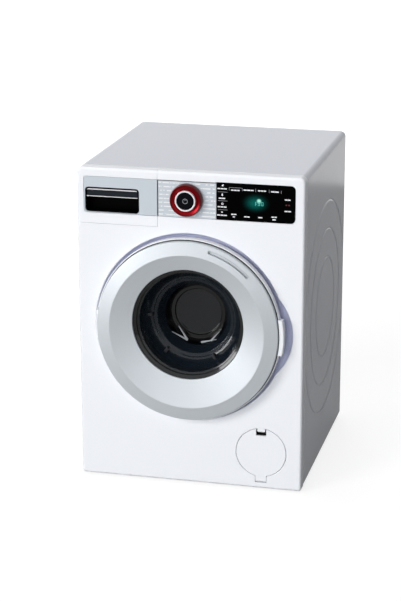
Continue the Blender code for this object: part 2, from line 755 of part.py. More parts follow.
def build_front_panel():
    """The front of the body with the dish, and openings for drawer, controls and flap."""
    panel = body_slab("front_panel", (0, FRONT_DEPTH), FRONT_EDGE_RADIUS)
    cut(panel, block("front_pocket", (-INNER_HALF_WIDTH, INNER_HALF_WIDTH),
                     (FRONT_WALL, FRONT_DEPTH + OVERRUN), (BASE_TOP, INNER_TOP)))
    opening_right = DRAWER_SEAM_X + SHUT_LINE / 2
    opening_low = DRAWER_LOW - SHUT_LINE / 2
    start = FRONT_WALL - JOIN_DEPTH
    join(panel,
         block("drawer_return_side", (opening_right - OVERRUN, opening_right + RETURN_WALL),
               (start, FRONT_DEPTH), (opening_low - RETURN_WALL, INNER_TOP + JOIN_DEPTH)),
         block("drawer_return_low", (-INNER_HALF_WIDTH - JOIN_DEPTH, opening_right + RETURN_WALL / 2),
               (start, FRONT_DEPTH - SEAM), (opening_low - RETURN_WALL, opening_low + OVERRUN)),
         dish_boss("dish_boss", DISH_RADIUS, DISH_FLOOR_RADIUS, 0, DISH_Z),
         dish_boss("scoop_boss", SCOOP_RADIUS, SCOOP_FLOOR_RADIUS, SCOOP_X, SCOOP_Z))
    cut(panel,
        block("drawer_opening", (-HALF_WIDTH - OVERRUN, opening_right),
              (-OVERRUN, FRONT_DEPTH + OVERRUN), (opening_low, BODY_HEIGHT + OVERRUN)),
        dish_cutter("dish", DISH_RADIUS, DISH_FLOOR_RADIUS, 0, DISH_Z),
        dish_cutter("scoop", SCOOP_RADIUS, SCOOP_FLOOR_RADIUS, SCOOP_X, SCOOP_Z),
        disc("gasket_seat", GASKET_SEAT_RADIUS, 0, DRUM_Z, (DISH_DEPTH - OVERRUN, DISH_BACK + OVERRUN),
             DISH_STEPS))
    add_panel_bosses(panel)
    cut_control_openings(panel)
    cut_flap_opening(panel)
    slot_across, slot_height = hook_slot(RUNNING_GAP)
    cut(panel, block("hook_slot", slot_across, (DISH_DEPTH - OVERRUN, DISH_BACK + OVERRUN), slot_height))
    finish(panel, "white_plastic")


def add_panel_bosses(panel):
    """Posts for the tub and the control board, and the ears of the door hinge."""
    for number, (x, z) in enumerate(tub_post_places(), 1):
        join(panel, disc(f"tub_post_{number}", TUB_POST_RADIUS, x, z,
                         (DISH_BACK - JOIN_DEPTH, TUB_FRONT_DEPTH - SEAM)))
    for number, (x, z) in enumerate(board_post_places(), 1):
        join(panel, disc(f"board_post_{number}", BOARD_POST_RADIUS, x, z,
                         (FRONT_WALL - JOIN_DEPTH, BOARD_POST_END)))
    near = KNUCKLE_HALF_HEIGHT + RUNNING_GAP
    for number, side in enumerate((-1, 1), 1):
        low, high = sorted((DISH_Z + side * near, DISH_Z + side * (near + LUG_HEIGHT)))
        join(panel, hinge_lug(f"hinge_lug_{number}", low, high))
    reach = near + LUG_HEIGHT + OVERRUN
    cut(panel, rod("lug_bore", HINGE_BORE_RADIUS, place(HINGE_X, -HINGE_PROUD, DISH_Z - reach),
                   place(HINGE_X, -HINGE_PROUD, DISH_Z + reach)))


def cut_control_openings(panel):
    """Pockets for the strip and the lens, and holes for the display and the selector."""
    module_across, module_height = module_span()
    cut(panel,
        block("strip_pocket", (DRAWER_SEAM_X - OVERRUN, LENS_LEFT), (-OVERRUN, PLATE_POCKET),
              grown((STRIP_LOW, STRIP_TOP), SEAM)),
        extruded("lens_pocket",
                 rounded_outline(grown((LENS_LEFT, LENS_RIGHT), SEAM), grown((LENS_LOW, LENS_TOP), SEAM),
                                 (0, LENS_CORNER, LENS_CORNER, 0)),
                 (-OVERRUN, PLATE_POCKET)),
        block("display_hole", grown(module_across, MODULE_GAP), (-OVERRUN, FRONT_WALL + OVERRUN),
              grown(module_height, MODULE_GAP)),
        disc("selector_hole", SLEEVE_RADIUS + SLEEVE_GAP, KNOB_X, KNOB_Z,
             (-OVERRUN, FRONT_WALL + OVERRUN), SMALL_STEPS))


def cut_flap_opening(panel):
    """The round opening of the service flap, its tab's opening and its pin's bores."""
    half_tab = FLAP_TAB_WIDTH / 2 + SEAM
    low = FLAP_HINGE_Z - FLAP_BARREL_RADIUS - SEAM
    pin_reach = FLAP_TAB_WIDTH / 2 + FLAP_PIN_OVERHANG + SEAM
    cut(panel,
        disc("flap_opening", FLAP_RADIUS + SHUT_LINE / 2 + SEAM / 2, FLAP_X, FLAP_Z,
             (-OVERRUN, FRONT_WALL + OVERRUN), DRUM_STEPS),
        block("tab_opening", (FLAP_X - half_tab, FLAP_X + half_tab), (-OVERRUN, FRONT_WALL + OVERRUN),
              (low, FLAP_Z - FLAP_RADIUS / 2)),
        rod("flap_pin_bore", FLAP_PIN_BORE, place(FLAP_X - pin_reach, FLAP_BARREL_RADIUS, FLAP_HINGE_Z),
            place(FLAP_X + pin_reach, FLAP_BARREL_RADIUS, FLAP_HINGE_Z)))


def build_cabinet():
    """Both sides and the top in one moulding, open below, in front and behind."""
    cabinet = body_slab("cabinet", (CABINET_DEPTH, BODY_DEPTH))
    cut(cabinet, block("cabinet_inside", (-INNER_HALF_WIDTH, INNER_HALF_WIDTH),
                       (CABINET_DEPTH - OVERRUN, BODY_DEPTH + OVERRUN), (-OVERRUN, INNER_TOP)))
    post_end = COVER_DEPTH - SEAM
    for number, (x, z) in enumerate(rear_screw_places(), 1):
        side = math.copysign(1, x)
        inner = x - side * POST_SIZE / 2
        outer = side * (INNER_HALF_WIDTH + JOIN_DEPTH)
        top = INNER_TOP + JOIN_DEPTH if z > DISH_Z else z + POST_SIZE / 2
        post = block(f"rear_post_{number}", sorted((inner, outer)), (post_end - POST_LENGTH, post_end),
                     (z - POST_SIZE / 2, top))
        bore = disc(f"rear_post_bore_{number}", SCREW_BORE, x, z,
                    (post_end - POST_LENGTH * 0.75, post_end + OVERRUN))
        cut(join(cabinet, post), bore)
    middle = place(0, (CABINET_DEPTH + BODY_DEPTH) / 2, SIDE_RING_Z)
    for number in range(SIDE_RING_COUNT):
        radius = SIDE_RING_INNER + number * SIDE_RING_STEP
        for side in (-1, 1):
            cut(cabinet, side_groove(f"side_groove_{number}_{'left' if side < 0 else 'right'}",
                                     radius, side, middle))
    finish(cabinet, "white_plastic")


def side_groove(name, radius, side, middle):
    """A round groove of V section in one side of the cabinet."""
    half_mouth = SIDE_GROOVE_WIDTH / 2 * (SIDE_GROOVE_DEPTH + OVERRUN) / SIDE_GROOVE_DEPTH
    profile = [
        (radius, HALF_WIDTH - SIDE_GROOVE_DEPTH),
        (radius + half_mouth, HALF_WIDTH + OVERRUN),
        (radius - half_mouth, HALF_WIDTH + OVERRUN),
    ]
    groove = turned(name, profile, middle, DOOR_STEPS, -side * math.pi / 2)
    bounds = block(name + "_bounds", (-HALF_WIDTH - 2 * OVERRUN, HALF_WIDTH + 2 * OVERRUN),
                   (CABINET_DEPTH + SIDE_RING_MARGIN, BODY_DEPTH - SIDE_RING_MARGIN),
                   (BODY_BOTTOM, BODY_HEIGHT))
    return boolean(groove, bounds, "INTERSECT")


def build_back_cover():
    """The back with the speaker's slots, the battery opening and its four screws."""
    cover = block("back_cover", (-INNER_HALF_WIDTH + SEAM, INNER_HALF_WIDTH - SEAM),
                  (COVER_DEPTH, BODY_DEPTH), (BODY_BOTTOM, INNER_TOP - SEAM))
    for number, (x, z) in enumerate(rear_screw_places(), 1):
        cut_screw_hole(cover, f"back_screw_hole_{number}", x, z)
        screw(f"back_screw_{number}", x, z)
    for number in range(SLOT_COUNT):
        z = SPEAKER_Z + (number - (SLOT_COUNT - 1) / 2) * SLOT_PITCH
        cut(cover, block(f"speaker_slot_{number}", (SPEAKER_X - SLOT_LENGTH / 2, SPEAKER_X + SLOT_LENGTH / 2),
                         (COVER_DEPTH - OVERRUN, BODY_DEPTH + OVERRUN),
                         (z - SLOT_WIDTH / 2, z + SLOT_WIDTH / 2)))
    door_across, door_height = battery_door_span()
    cut(cover, block("battery_opening", grown(door_across, SEAM),
                     (COVER_DEPTH - OVERRUN, BODY_DEPTH + OVERRUN), grown(door_height, SEAM)))
    finish(cover, "white_plastic")


def foot_places():
    """The four feet under the base."""
    x = HALF_WIDTH - FOOT_INSET
    depths = (CABINET_DEPTH + FOOT_INSET, BODY_DEPTH - FOOT_INSET)
    return [(side * x, depth) for side in (-1, 1) for depth in depths]


def build_base():
    """The base pan with its rim, and the feet in its pockets."""
    edge = INNER_HALF_WIDTH - SEAM
    back = COVER_DEPTH - SEAM
    base = block("base_pan", (-edge, edge), (CABINET_DEPTH, back), (BODY_BOTTOM, BASE_TOP + BASE_RIM))
    cut(base, block("base_inside", (WALL - edge, edge - WALL), (CABINET_DEPTH + WALL, back - WALL),
                    (BASE_TOP, BASE_TOP + BASE_RIM + OVERRUN)))
    for number, (x, depth) in enumerate(foot_places(), 1):
        cut(base, rod(f"foot_pocket_{number}", FOOT_RADIUS + SEAM, place(x, depth, BODY_BOTTOM - OVERRUN),
                      place(x, depth, BODY_BOTTOM + FOOT_POCKET), SMALL_STEPS))
        foot = rod(f"foot_{number}", FOOT_RADIUS, place(x, depth, 0),
                   place(x, depth, BODY_BOTTOM + FOOT_POCKET - SEAM), SMALL_STEPS)
        finish(foot, "black_rubber")
    tray_across, _, _ = battery_pocket()
    cut(base, block("battery_notch", grown(tray_across, BATTERY_WALL + SEAM),
                    (back - WALL - OVERRUN, back + OVERRUN), (BASE_TOP, BASE_TOP + BASE_RIM + OVERRUN)))
    finish(base, "white_plastic")


def build_controls():
    """The control strip, the display and what lies behind them."""
    strip = block("fascia_strip", (DRAWER_SEAM_X + SHUT_LINE / 2, LENS_LEFT - SEAM),
                  (0, PLATE_THICKNESS), (STRIP_LOW, STRIP_TOP))
    cut(strip, disc("strip_hole", SLEEVE_RADIUS + SLEEVE_GAP, KNOB_X, KNOB_Z,
                    (-OVERRUN, PLATE_THICKNESS + OVERRUN), SMALL_STEPS))
    finish(strip, "silver_paint")
    lens = extruded("display_lens",
                    rounded_outline((LENS_LEFT, LENS_RIGHT), (LENS_LOW, LENS_TOP),
                                    (0, LENS_CORNER, LENS_CORNER, 0)),
                    (-LENS_PROUD, PLATE_THICKNESS), PLATE_EDGE)
    finish(lens, "black_gloss")
    module_across, module_height = module_span()
    finish(block("display_module", module_across, (PLATE_THICKNESS + SEAM, BOARD_POST_END), module_height),
           "black_plastic")
    board_left = DRAWER_SEAM_X + RETURN_WALL + SEAM
    finish(block("control_board", (board_left, LENS_RIGHT + BOARD_MARGIN),
                 (BOARD_DEPTH, BOARD_DEPTH + BOARD_THICKNESS),
                 (STRIP_LOW - BOARD_MARGIN, STRIP_TOP + BOARD_MARGIN)), "board_green")
    encoder = disc("selector_encoder", ENCODER_RADIUS, KNOB_X, KNOB_Z,
                   (SLEEVE_END + SEAM, BOARD_POST_END), SMALL_STEPS)
    cut(encoder, disc("encoder_bore", ENCODER_BORE, KNOB_X, KNOB_Z,
                      (SLEEVE_END - OVERRUN, BOARD_POST_END + OVERRUN), SMALL_STEPS))
    finish(encoder, "black_plastic")
    half = SWITCH_SIZE / 2
    finish(block("tact_switch", (KNOB_X - half, KNOB_X + half),
                 (BOARD_POST_END - SWITCH_HEIGHT, BOARD_POST_END),
                 (KNOB_Z - half, KNOB_Z + half)), "black_plastic")
    rim = COVER_DEPTH - SEAM
    speaker = [
        (0, rim - SPEAKER_LENGTH),
        (SPEAKER_MAGNET_RADIUS, rim - SPEAKER_LENGTH),
        (SPEAKER_MAGNET_RADIUS, rim - SPEAKER_RIM_LENGTH),
        (SPEAKER_RADIUS, rim - SPEAKER_RIM_LENGTH),
        (SPEAKER_RADIUS, rim),
        (0, rim),
    ]
    finish(turned_at("speaker", speaker, SPEAKER_X, SPEAKER_Z, SMALL_STEPS), "black_plastic")


def build_selector():
    """The ring that turns, its bright trim, and the button in its middle."""
    selector_axis = axis_empty("selector_axis", place(KNOB_X, 0, KNOB_Z))
    base = -SEAM
    ring = [
        (SLEEVE_BORE, SLEEVE_END),
        (SLEEVE_RADIUS, SLEEVE_END),
        (SLEEVE_RADIUS, base),
        (KNOB_RADIUS, base),
        (KNOB_RADIUS, -KNOB_RIM_HEIGHT),
        (KNOB_FACE_RADIUS, -KNOB_HEIGHT),
        (KNOB_POCKET_RADIUS, -KNOB_HEIGHT),
        (KNOB_POCKET_RADIUS, -KNOB_POCKET_FLOOR),
        (SLEEVE_BORE, -KNOB_POCKET_FLOOR),
    ]
    finish(turned_at("knob_ring", ring, KNOB_X, KNOB_Z, SMALL_STEPS), "red_gloss", selector_axis)
    trim_outer = KNOB_POCKET_RADIUS - SEAM
    trim_inner = trim_outer - KNOB_TRIM_WALL
    trim_back = -KNOB_POCKET_FLOOR - SEAM
    trim_front = -KNOB_HEIGHT - KNOB_TRIM_PROUD
    trim = [
        (trim_inner, trim_back),
        (trim_outer, trim_back),
        (trim_outer, trim_front),
        (trim_inner, trim_front),
    ]
    finish(turned_at("knob_trim", trim, KNOB_X, KNOB_Z, SMALL_STEPS), "chrome_trim", selector_axis)
    button_axis = axis_empty("button_axis", place(KNOB_X, 0, KNOB_Z))
    face_radius = trim_inner - SEAM
    stem_radius = SLEEVE_BORE - SLEEVE_GAP
    face = trim_front + BUTTON_EDGE
    stem_end = BOARD_POST_END - SWITCH_HEIGHT - SEAM - BUTTON_TRAVEL
    button = [
        (0, face),
        (face_radius - BUTTON_EDGE, face),
        (face_radius, face + BUTTON_EDGE),
        (face_radius, face + BUTTON_HEIGHT),
        (stem_radius, face + BUTTON_HEIGHT),
        (stem_radius, stem_end),
        (0, stem_end),
    ]
    finish(turned_at("power_button", button, KNOB_X, KNOB_Z, SMALL_STEPS), "black_gloss", button_axis)


def build_drawer():
    """The drawer that slides out of the front's upper left corner, and its housing."""
    middle_x = (GRIP_LEFT + GRIP_RIGHT) / 2
    drawer_axis = axis_empty("drawer_axis", place(middle_x, 0, (DRAWER_LOW + BODY_HEIGHT) / 2))
    front_right = DRAWER_SEAM_X - SHUT_LINE / 2
    front_low = DRAWER_LOW + SHUT_LINE / 2
    front = body_slab("drawer_front", (0, FRONT_DEPTH), FRONT_EDGE_RADIUS)
    boolean(front, block("drawer_front_bounds", (-HALF_WIDTH - OVERRUN, front_right),
                         (-OVERRUN, FRONT_DEPTH + OVERRUN), (front_low, BODY_HEIGHT + OVERRUN)), "INTERSECT")
    grip_outline = rounded_outline((GRIP_LEFT, GRIP_RIGHT), (GRIP_LOW, GRIP_TOP), [GRIP_CORNER] * 4)
    cup_across = grown((GRIP_LEFT, GRIP_RIGHT), GRIP_WALL)
    cup_height = grown((GRIP_LOW, GRIP_TOP), GRIP_WALL)
    cup_corners = [GRIP_CORNER + GRIP_WALL] * 4
    cup_hole = extruded("grip_hole",
                        rounded_outline(grown(cup_across, SEAM), grown(cup_height, SEAM), cup_corners),
                        (-OVERRUN, FRONT_WALL + OVERRUN))
    plate_outline = rounded_outline((STRIP_LEFT, front_right), (STRIP_LOW, STRIP_TOP),
                                    (STRIP_CORNER, 0, 0, STRIP_CORNER))
    plate_pocket = extruded("drawer_plate_pocket",
                            rounded_outline((STRIP_LEFT - SEAM, front_right + OVERRUN),
                                            grown((STRIP_LOW, STRIP_TOP), SEAM),
                                            (STRIP_CORNER, 0, 0, STRIP_CORNER)),
                            (-OVERRUN, PLATE_POCKET))
    cut(front,
        block("drawer_front_pocket", (-INNER_HALF_WIDTH, front_right - RETURN_WALL),
              (FRONT_WALL, FRONT_DEPTH + OVERRUN), (front_low + RETURN_WALL, INNER_TOP)),
        plate_pocket, cup_hole)
    finish(front, "white_plastic", drawer_axis)
    plate = extruded("drawer_plate", plate_outline, (0, PLATE_THICKNESS))
    plate_hole = extruded("drawer_plate_hole",
                          rounded_outline(grown(cup_across, SEAM), grown(cup_height, SEAM), cup_corners),
                          (-OVERRUN, PLATE_THICKNESS + OVERRUN))
    finish(cut(plate, plate_hole), "silver_paint", drawer_axis)
    cup_back = FRONT_DEPTH - SEAM
    cup = extruded("drawer_grip", rounded_outline(cup_across, cup_height, cup_corners), (0, cup_back))
    recess = extruded("grip_recess", grip_outline, (-OVERRUN, cup_back - GRIP_WALL))
    bar_corner = GRIP_CORNER + GRIP_WALL / 2
    bar = extruded("grip_bar",
                   rounded_outline(grown((GRIP_LEFT, GRIP_RIGHT), GRIP_WALL / 2),
                                   (GRIP_TOP - GRIP_BAR_HEIGHT, GRIP_TOP + GRIP_WALL / 2),
                                   (0, 0, bar_corner, bar_corner)),
                   (GRIP_BAR_DEPTH - GRIP_WALL * 2, GRIP_BAR_DEPTH))
    finish(join(cut(cup, recess), bar), "black_gloss", drawer_axis)
    build_tray(drawer_axis)


def build_tray(drawer_axis):
    """The tray behind the drawer front, and the fixed channel that it slides in."""
    channel_left = -INNER_HALF_WIDTH + SEAM
    channel_right = DRAWER_SEAM_X - SEAM
    channel_low = DRAWER_LOW - HOUSING_WALL
    channel_end = CABINET_DEPTH + HOUSING_LENGTH
    housing = block("drawer_housing", (channel_left, channel_right), (CABINET_DEPTH, channel_end),
                    (channel_low, INNER_TOP - HOUSING_TOP_GAP))
    cut(housing, block("channel", (channel_left + HOUSING_WALL, channel_right - HOUSING_WALL),
                       (CABINET_DEPTH - OVERRUN, channel_end - HOUSING_WALL), (DRAWER_LOW, INNER_TOP)))
    finish(housing, "grey_plastic")
    left = channel_left + HOUSING_WALL + RUNNING_GAP
    right = channel_right - HOUSING_WALL - RUNNING_GAP
    low = DRAWER_LOW + RUNNING_GAP
    top = INNER_TOP - TRAY_TOP_GAP
    tray = block("drawer_tray", (left, right), (CABINET_DEPTH, CABINET_DEPTH + TRAY_LENGTH), (low, top))
    pocket_width = (right - left - TRAY_WALL * (TRAY_POCKETS + 1)) / TRAY_POCKETS
    for number in range(TRAY_POCKETS):
        start = left + TRAY_WALL + number * (pocket_width + TRAY_WALL)
        cut(tray, block(f"tray_pocket_{number}", (start, start + pocket_width),
                        (CABINET_DEPTH + TRAY_WALL, CABINET_DEPTH + TRAY_LENGTH - TRAY_WALL),
                        (low + TRAY_WALL, top + OVERRUN)))
    finish(tray, "white_plastic", drawer_axis)


def build_door():
    """The door: silver ring, white shell, smoked bowl, retainer, handle and hinge pin."""
    door_axis = axis_empty("door_axis", place(HINGE_X, -HINGE_PROUD, DISH_Z))
    ring = [
        (RING_RADIUS, -RING_BACK, 0),
        (RING_RADIUS, RING_EDGE_ROUND - RING_EDGE_FRONT, 0),
        (RING_RADIUS - RING_EDGE_ROUND, -RING_EDGE_FRONT, 0),
        (CREST_RADIUS, -DOOR_PROUD, 0),
        (WINDOW_RADIUS, -WINDOW_LIP_FRONT, WINDOW_RISE),
        (WINDOW_RADIUS, -WINDOW_LIP_BACK, WINDOW_RISE),
        (CREST_RADIUS - RING_WALL / 2, RING_WALL - DOOR_PROUD, 0),
        (RING_RADIUS - RING_WALL, RING_WALL - RING_EDGE_FRONT, 0),
        (RING_RADIUS - RING_WALL, -RING_BACK, 0),
    ]
    finish(lofted("door_ring", ring, 0, DISH_Z, DOOR_STEPS), "ring_silver", door_axis)
    build_door_shell(door_axis)
    build_door_window(door_axis)
    build_door_handle(door_axis)
    reach = KNUCKLE_HALF_HEIGHT + RUNNING_GAP + LUG_HEIGHT
    finish(rod("door_hinge_pin", HINGE_PIN_RADIUS, place(HINGE_X, -HINGE_PROUD, DISH_Z - reach),
               place(HINGE_X, -HINGE_PROUD, DISH_Z + reach)), "steel")


def build_door_shell(door_axis):
    """The white back of the door, with the hinge's knuckle and room for lugs and handle."""
    front = SEAM - RING_BACK
    sections = [
        (SHELL_RADIUS, front, 0),
        (SHELL_RADIUS, -SHELL_TAPER_START, 0),
        (SHELL_BACK_RADIUS, SHELL_BACK_DEPTH, 0),
        (HUB_RADIUS, SHELL_BACK_DEPTH, WINDOW_RISE),
        (HUB_RADIUS, -HUB_FRONT, WINDOW_RISE),
        (HUB_RADIUS + HUB_WALL, -HUB_FRONT, WINDOW_RISE),
        (HUB_RADIUS + HUB_WALL, SHELL_BACK_DEPTH - SHELL_WALL, WINDOW_RISE),
        (SHELL_BACK_RADIUS - SHELL_WALL, SHELL_BACK_DEPTH - SHELL_WALL, 0),
        (SHELL_RADIUS - SHELL_WALL, -SHELL_TAPER_START, 0),
        (SHELL_RADIUS - SHELL_WALL, front, 0),
    ]
    shell = lofted("door_shell", sections, 0, DISH_Z, DOOR_STEPS)
    notch_start = KNUCKLE_HALF_HEIGHT
    for number, side in enumerate((-1, 1), 1):
        heights = sorted((DISH_Z + side * notch_start, DISH_Z + side * (notch_start + HINGE_NOTCH_HEIGHT)))
        cut(shell, block(f"lug_notch_{number}", (HINGE_X - KNUCKLE_RADIUS - OVERRUN, HINGE_NOTCH_X),
                         (front - OVERRUN, SHELL_BACK_DEPTH + OVERRUN), heights))
    low = place(HINGE_X, -HINGE_PROUD, DISH_Z - KNUCKLE_HALF_HEIGHT)
    high = place(HINGE_X, -HINGE_PROUD, DISH_Z + KNUCKLE_HALF_HEIGHT)
    lift = Vector((0, 0, OVERRUN))
    join(shell, rod("knuckle", KNUCKLE_RADIUS, low, high))
    cut(shell, rod("knuckle_bore", HINGE_BORE_RADIUS, low - lift, high + lift))
    half = HANDLE_HEIGHT / 2
    slot_across = grown((HOOK_X, HOOK_X + HOOK_THICKNESS), RUNNING_GAP)
    cut(shell,
        block("handle_notch", (HANDLE_INNER_X - SEAM, SHELL_RADIUS + OVERRUN),
              (front - OVERRUN, -HANDLE_BACK_PROUD + SEAM), grown((HANDLE_Z - half, HANDLE_Z + half), SEAM)),
        block("shell_hook_slot", slot_across, (-HANDLE_BACK_PROUD - OVERRUN, SHELL_BACK_DEPTH + OVERRUN),
              grown((HANDLE_Z - HOOK_HEIGHT / 2, HANDLE_Z + HOOK_HEIGHT / 2), RUNNING_GAP)))
    finish(shell, "white_plastic", door_axis)


def build_door_window(door_axis):
    """The smoked bowl, clamped between ring and shell, and the ring behind it."""
    flange_front = SEAM - WINDOW_LIP_BACK
    flange_back = flange_front + BOWL_FLANGE_THICKNESS
    outside = [
        (BOWL_FLANGE_RADIUS, flange_front),
        (BOWL_FLANGE_RADIUS, flange_back),
        (BOWL_RIM_RADIUS + BOWL_WALL / 2, flange_back),
        (BOWL_NECK_RADIUS, SHELL_BACK_DEPTH),
        (BOWL_SHOULDER_RADIUS, BOWL_SHOULDER_DEPTH),
        (BOWL_STEP_RADIUS, BOWL_SHOULDER_DEPTH + BOWL_WALL),
        (BOWL_FLAT_RADIUS + BOWL_WALL, BOWL_DEPTH - BOWL_WALL),
        (BOWL_FLAT_RADIUS, BOWL_DEPTH),
        (0, BOWL_DEPTH),
    ]
    inside = [
        (0, BOWL_DEPTH - BOWL_WALL),
        (BOWL_FLAT_RADIUS - BOWL_WALL / 2, BOWL_DEPTH - BOWL_WALL),
        (BOWL_FLAT_RADIUS, BOWL_DEPTH - 2 * BOWL_WALL),
        (BOWL_STEP_RADIUS - BOWL_WALL, BOWL_SHOULDER_DEPTH),
        (BOWL_SHOULDER_RADIUS - BOWL_WALL, BOWL_SHOULDER_DEPTH - BOWL_WALL),
        (BOWL_NECK_RADIUS - BOWL_WALL, SHELL_BACK_DEPTH),
        (BOWL_RIM_RADIUS - BOWL_WALL / 2, flange_front),
    ]
    bowl = turned_at("door_window", inside + outside, 0, DRUM_Z, DRUM_STEPS)
    finish(bowl, "smoked_window", door_axis)
    front = SHELL_BACK_DEPTH + SEAM
    back = front + RETAINER_THICKNESS
    retainer = [
        (RETAINER_INNER, front),
        (RETAINER_OUTER, front),
        (RETAINER_OUTER, back - RETAINER_ROUND),
        (RETAINER_OUTER - RETAINER_ROUND, back),
        (RETAINER_INNER, back),
    ]
    finish(turned_at("window_retainer", retainer, 0, DRUM_Z, DRUM_STEPS), "grey_plastic", door_axis)


def build_door_handle(door_axis):
    """The handle tab with the latch hook behind it, and the catch in the body."""
    half = HANDLE_HEIGHT / 2
    heights = (HANDLE_Z - half, HANDLE_Z + half)
    corners = [HANDLE_EDGE] * 4
    tab = extruded("door_handle", rounded_outline((HANDLE_STEP_X, HANDLE_OUTER_X), heights, corners),
                   (-HANDLE_PROUD, -HANDLE_BACK_PROUD), HANDLE_EDGE / 2)
    hook_heights = (HANDLE_Z - HOOK_HEIGHT / 2, HANDLE_Z + HOOK_HEIGHT / 2)
    root = block("handle_root", (HANDLE_INNER_X, HANDLE_STEP_X + JOIN_DEPTH),
                 (-HANDLE_STEP_PROUD, -HANDLE_BACK_PROUD), grown(heights, -SEAM))
    hook = block("latch_hook", (HOOK_X, HOOK_X + HOOK_THICKNESS),
                 (-HANDLE_BACK_PROUD - JOIN_DEPTH, HOOK_DEPTH), hook_heights)
    finish(join(tab, root, hook), "white_plastic", door_axis)
    slot_across, slot_height = hook_slot(RUNNING_GAP)
    start = DISH_BACK + SEAM
    catch = block("latch_catch", grown(slot_across, CATCH_WALL), (start, start + CATCH_THICKNESS),
                  grown(slot_height, CATCH_WALL))
    cut(catch, block("catch_slot", slot_across, (start - OVERRUN, start + CATCH_THICKNESS + OVERRUN),
                     slot_height))
    finish(catch, "grey_plastic")


def build_tub():
    """The fixed tub around the drum, and the rubber gasket that joins it to the front."""
    front_back = TUB_FRONT_DEPTH + TUB_FRONT_THICKNESS
    front = [
        (GASKET_SEAT_RADIUS, TUB_FRONT_DEPTH),
        (TUB_RADIUS, TUB_FRONT_DEPTH),
        (TUB_RADIUS, front_back),
        (GASKET_SEAT_RADIUS, front_back),
    ]
    finish(turned_at("tub_front", front, 0, DRUM_Z, DRUM_STEPS), "grey_plastic")
    back_front = TUB_BACK_DEPTH - TUB_WALL
    boss_front = back_front - TUB_WALL
    boss_back = boss_front + BEARING_BOSS_LENGTH
    bore = BUSH_RADIUS + SEAM
    rear = [
        (bore, boss_front),
        (BEARING_BOSS_RADIUS, boss_front),
        (BEARING_BOSS_RADIUS, back_front),
        (TUB_RADIUS - TUB_WALL, back_front),
        (TUB_RADIUS - TUB_WALL, front_back + SEAM),
        (TUB_RADIUS, front_back + SEAM),
        (TUB_RADIUS, TUB_BACK_DEPTH),
        (BEARING_BOSS_RADIUS, TUB_BACK_DEPTH),
        (BEARING_BOSS_RADIUS, boss_back),
        (bore, boss_back),
    ]
    tub = turned_at("tub_rear", rear, 0, DRUM_Z, DRUM_STEPS)
    for number, (x, z) in enumerate(gearbox_post_places(), 1):
        join(tub, disc(f"gearbox_post_{number}", GEARBOX_POST_RADIUS, x, z,
                       (TUB_BACK_DEPTH - JOIN_DEPTH, PLATE_DEPTH - SEAM)))
    join(tub, disc("idler_boss", IDLER_BOSS_RADIUS, 0, IDLER_Z,
                   (TUB_BACK_DEPTH - JOIN_DEPTH, DRUM_GEAR_DEPTH - SEAM)))
    cut(tub, disc("idler_boss_bore", IDLER_AXLE_RADIUS + SEAM, 0, IDLER_Z,
                  (TUB_BACK_DEPTH, DRUM_GEAR_DEPTH + OVERRUN)))
    finish(tub, "grey_plastic")
    outer = GASKET_SEAT_RADIUS - SEAM
    inner = outer - GASKET_WALL
    middle = (DISH_BACK + TUB_FRONT_DEPTH) / 2
    reach = GASKET_FOLD
    gasket = [
        (GASKET_INNER, GASKET_FRONT_DEPTH),
        (outer, GASKET_FRONT_DEPTH),
        (outer, middle - reach),
        (outer + reach, middle),
        (outer, middle + reach),
        (outer, GASKET_BACK_DEPTH),
        (inner, GASKET_BACK_DEPTH),
        (inner, middle + reach),
        (inner + reach, middle),
        (inner, middle - reach),
        (GASKET_INNER, DISH_BACK),
    ]
    finish(turned_at("door_gasket", gasket, 0, DRUM_Z, DRUM_STEPS), "grey_rubber")
    build_bush("front_bush", boss_front + (BEARING_BOSS_LENGTH - BUSH_LENGTH) / 2, BUSH_LENGTH)


def build_bush(name, start, length):
    """A bronze bush around the drum shaft."""
    bore = SHAFT_RADIUS + SEAM
    profile = [(bore, start), (BUSH_RADIUS, start), (BUSH_RADIUS, start + length), (bore, start + length)]
    finish(turned_at(name, profile, 0, DRUM_Z, PIN_STEPS), "brass")


def gearbox_post_places():
    """Where the gearbox plate is carried by the tub."""
    return [(side * GEARBOX_POST_X, DRUM_Z + rise) for side in (-1, 1)
            for rise in (GEARBOX_POST_RISE, -GEARBOX_POST_DROP)]


def drum_holes():
    """Prisms through the drum's wall, in rows around it, as one cutter."""
    bm = bmesh.new()
    middle = DRUM_RADIUS - DRUM_WALL / 2
    first = DRUM_FRONT_DEPTH + DRUM_HOLE_MARGIN
    last = DRUM_FLOOR_DEPTH - DRUM_HOLE_MARGIN
    for row in range(DRUM_HOLE_ROWS):
        depth = first + (last - first) * row / (DRUM_HOLE_ROWS - 1)
        for number in range(DRUM_HOLES_AROUND):
            angle = math.pi / 2 + math.tau * (number + 0.5) / DRUM_HOLES_AROUND
            outward = Vector((math.cos(angle), 0, math.sin(angle)))
            made = bmesh.ops.create_cone(bm, cap_ends=True, segments=DRUM_HOLE_SIDES,
                                         radius1=DRUM_HOLE_RADIUS, radius2=DRUM_HOLE_RADIUS,
                                         depth=DRUM_WALL + 2 * OVERRUN)
            bmesh.ops.rotate(bm, verts=made["verts"], matrix=outward.to_track_quat("Z", "Y").to_matrix())
            bmesh.ops.translate(bm, verts=made["verts"], vec=place(0, depth, DRUM_Z) + outward * middle)
    return add("drum_holes", bm)


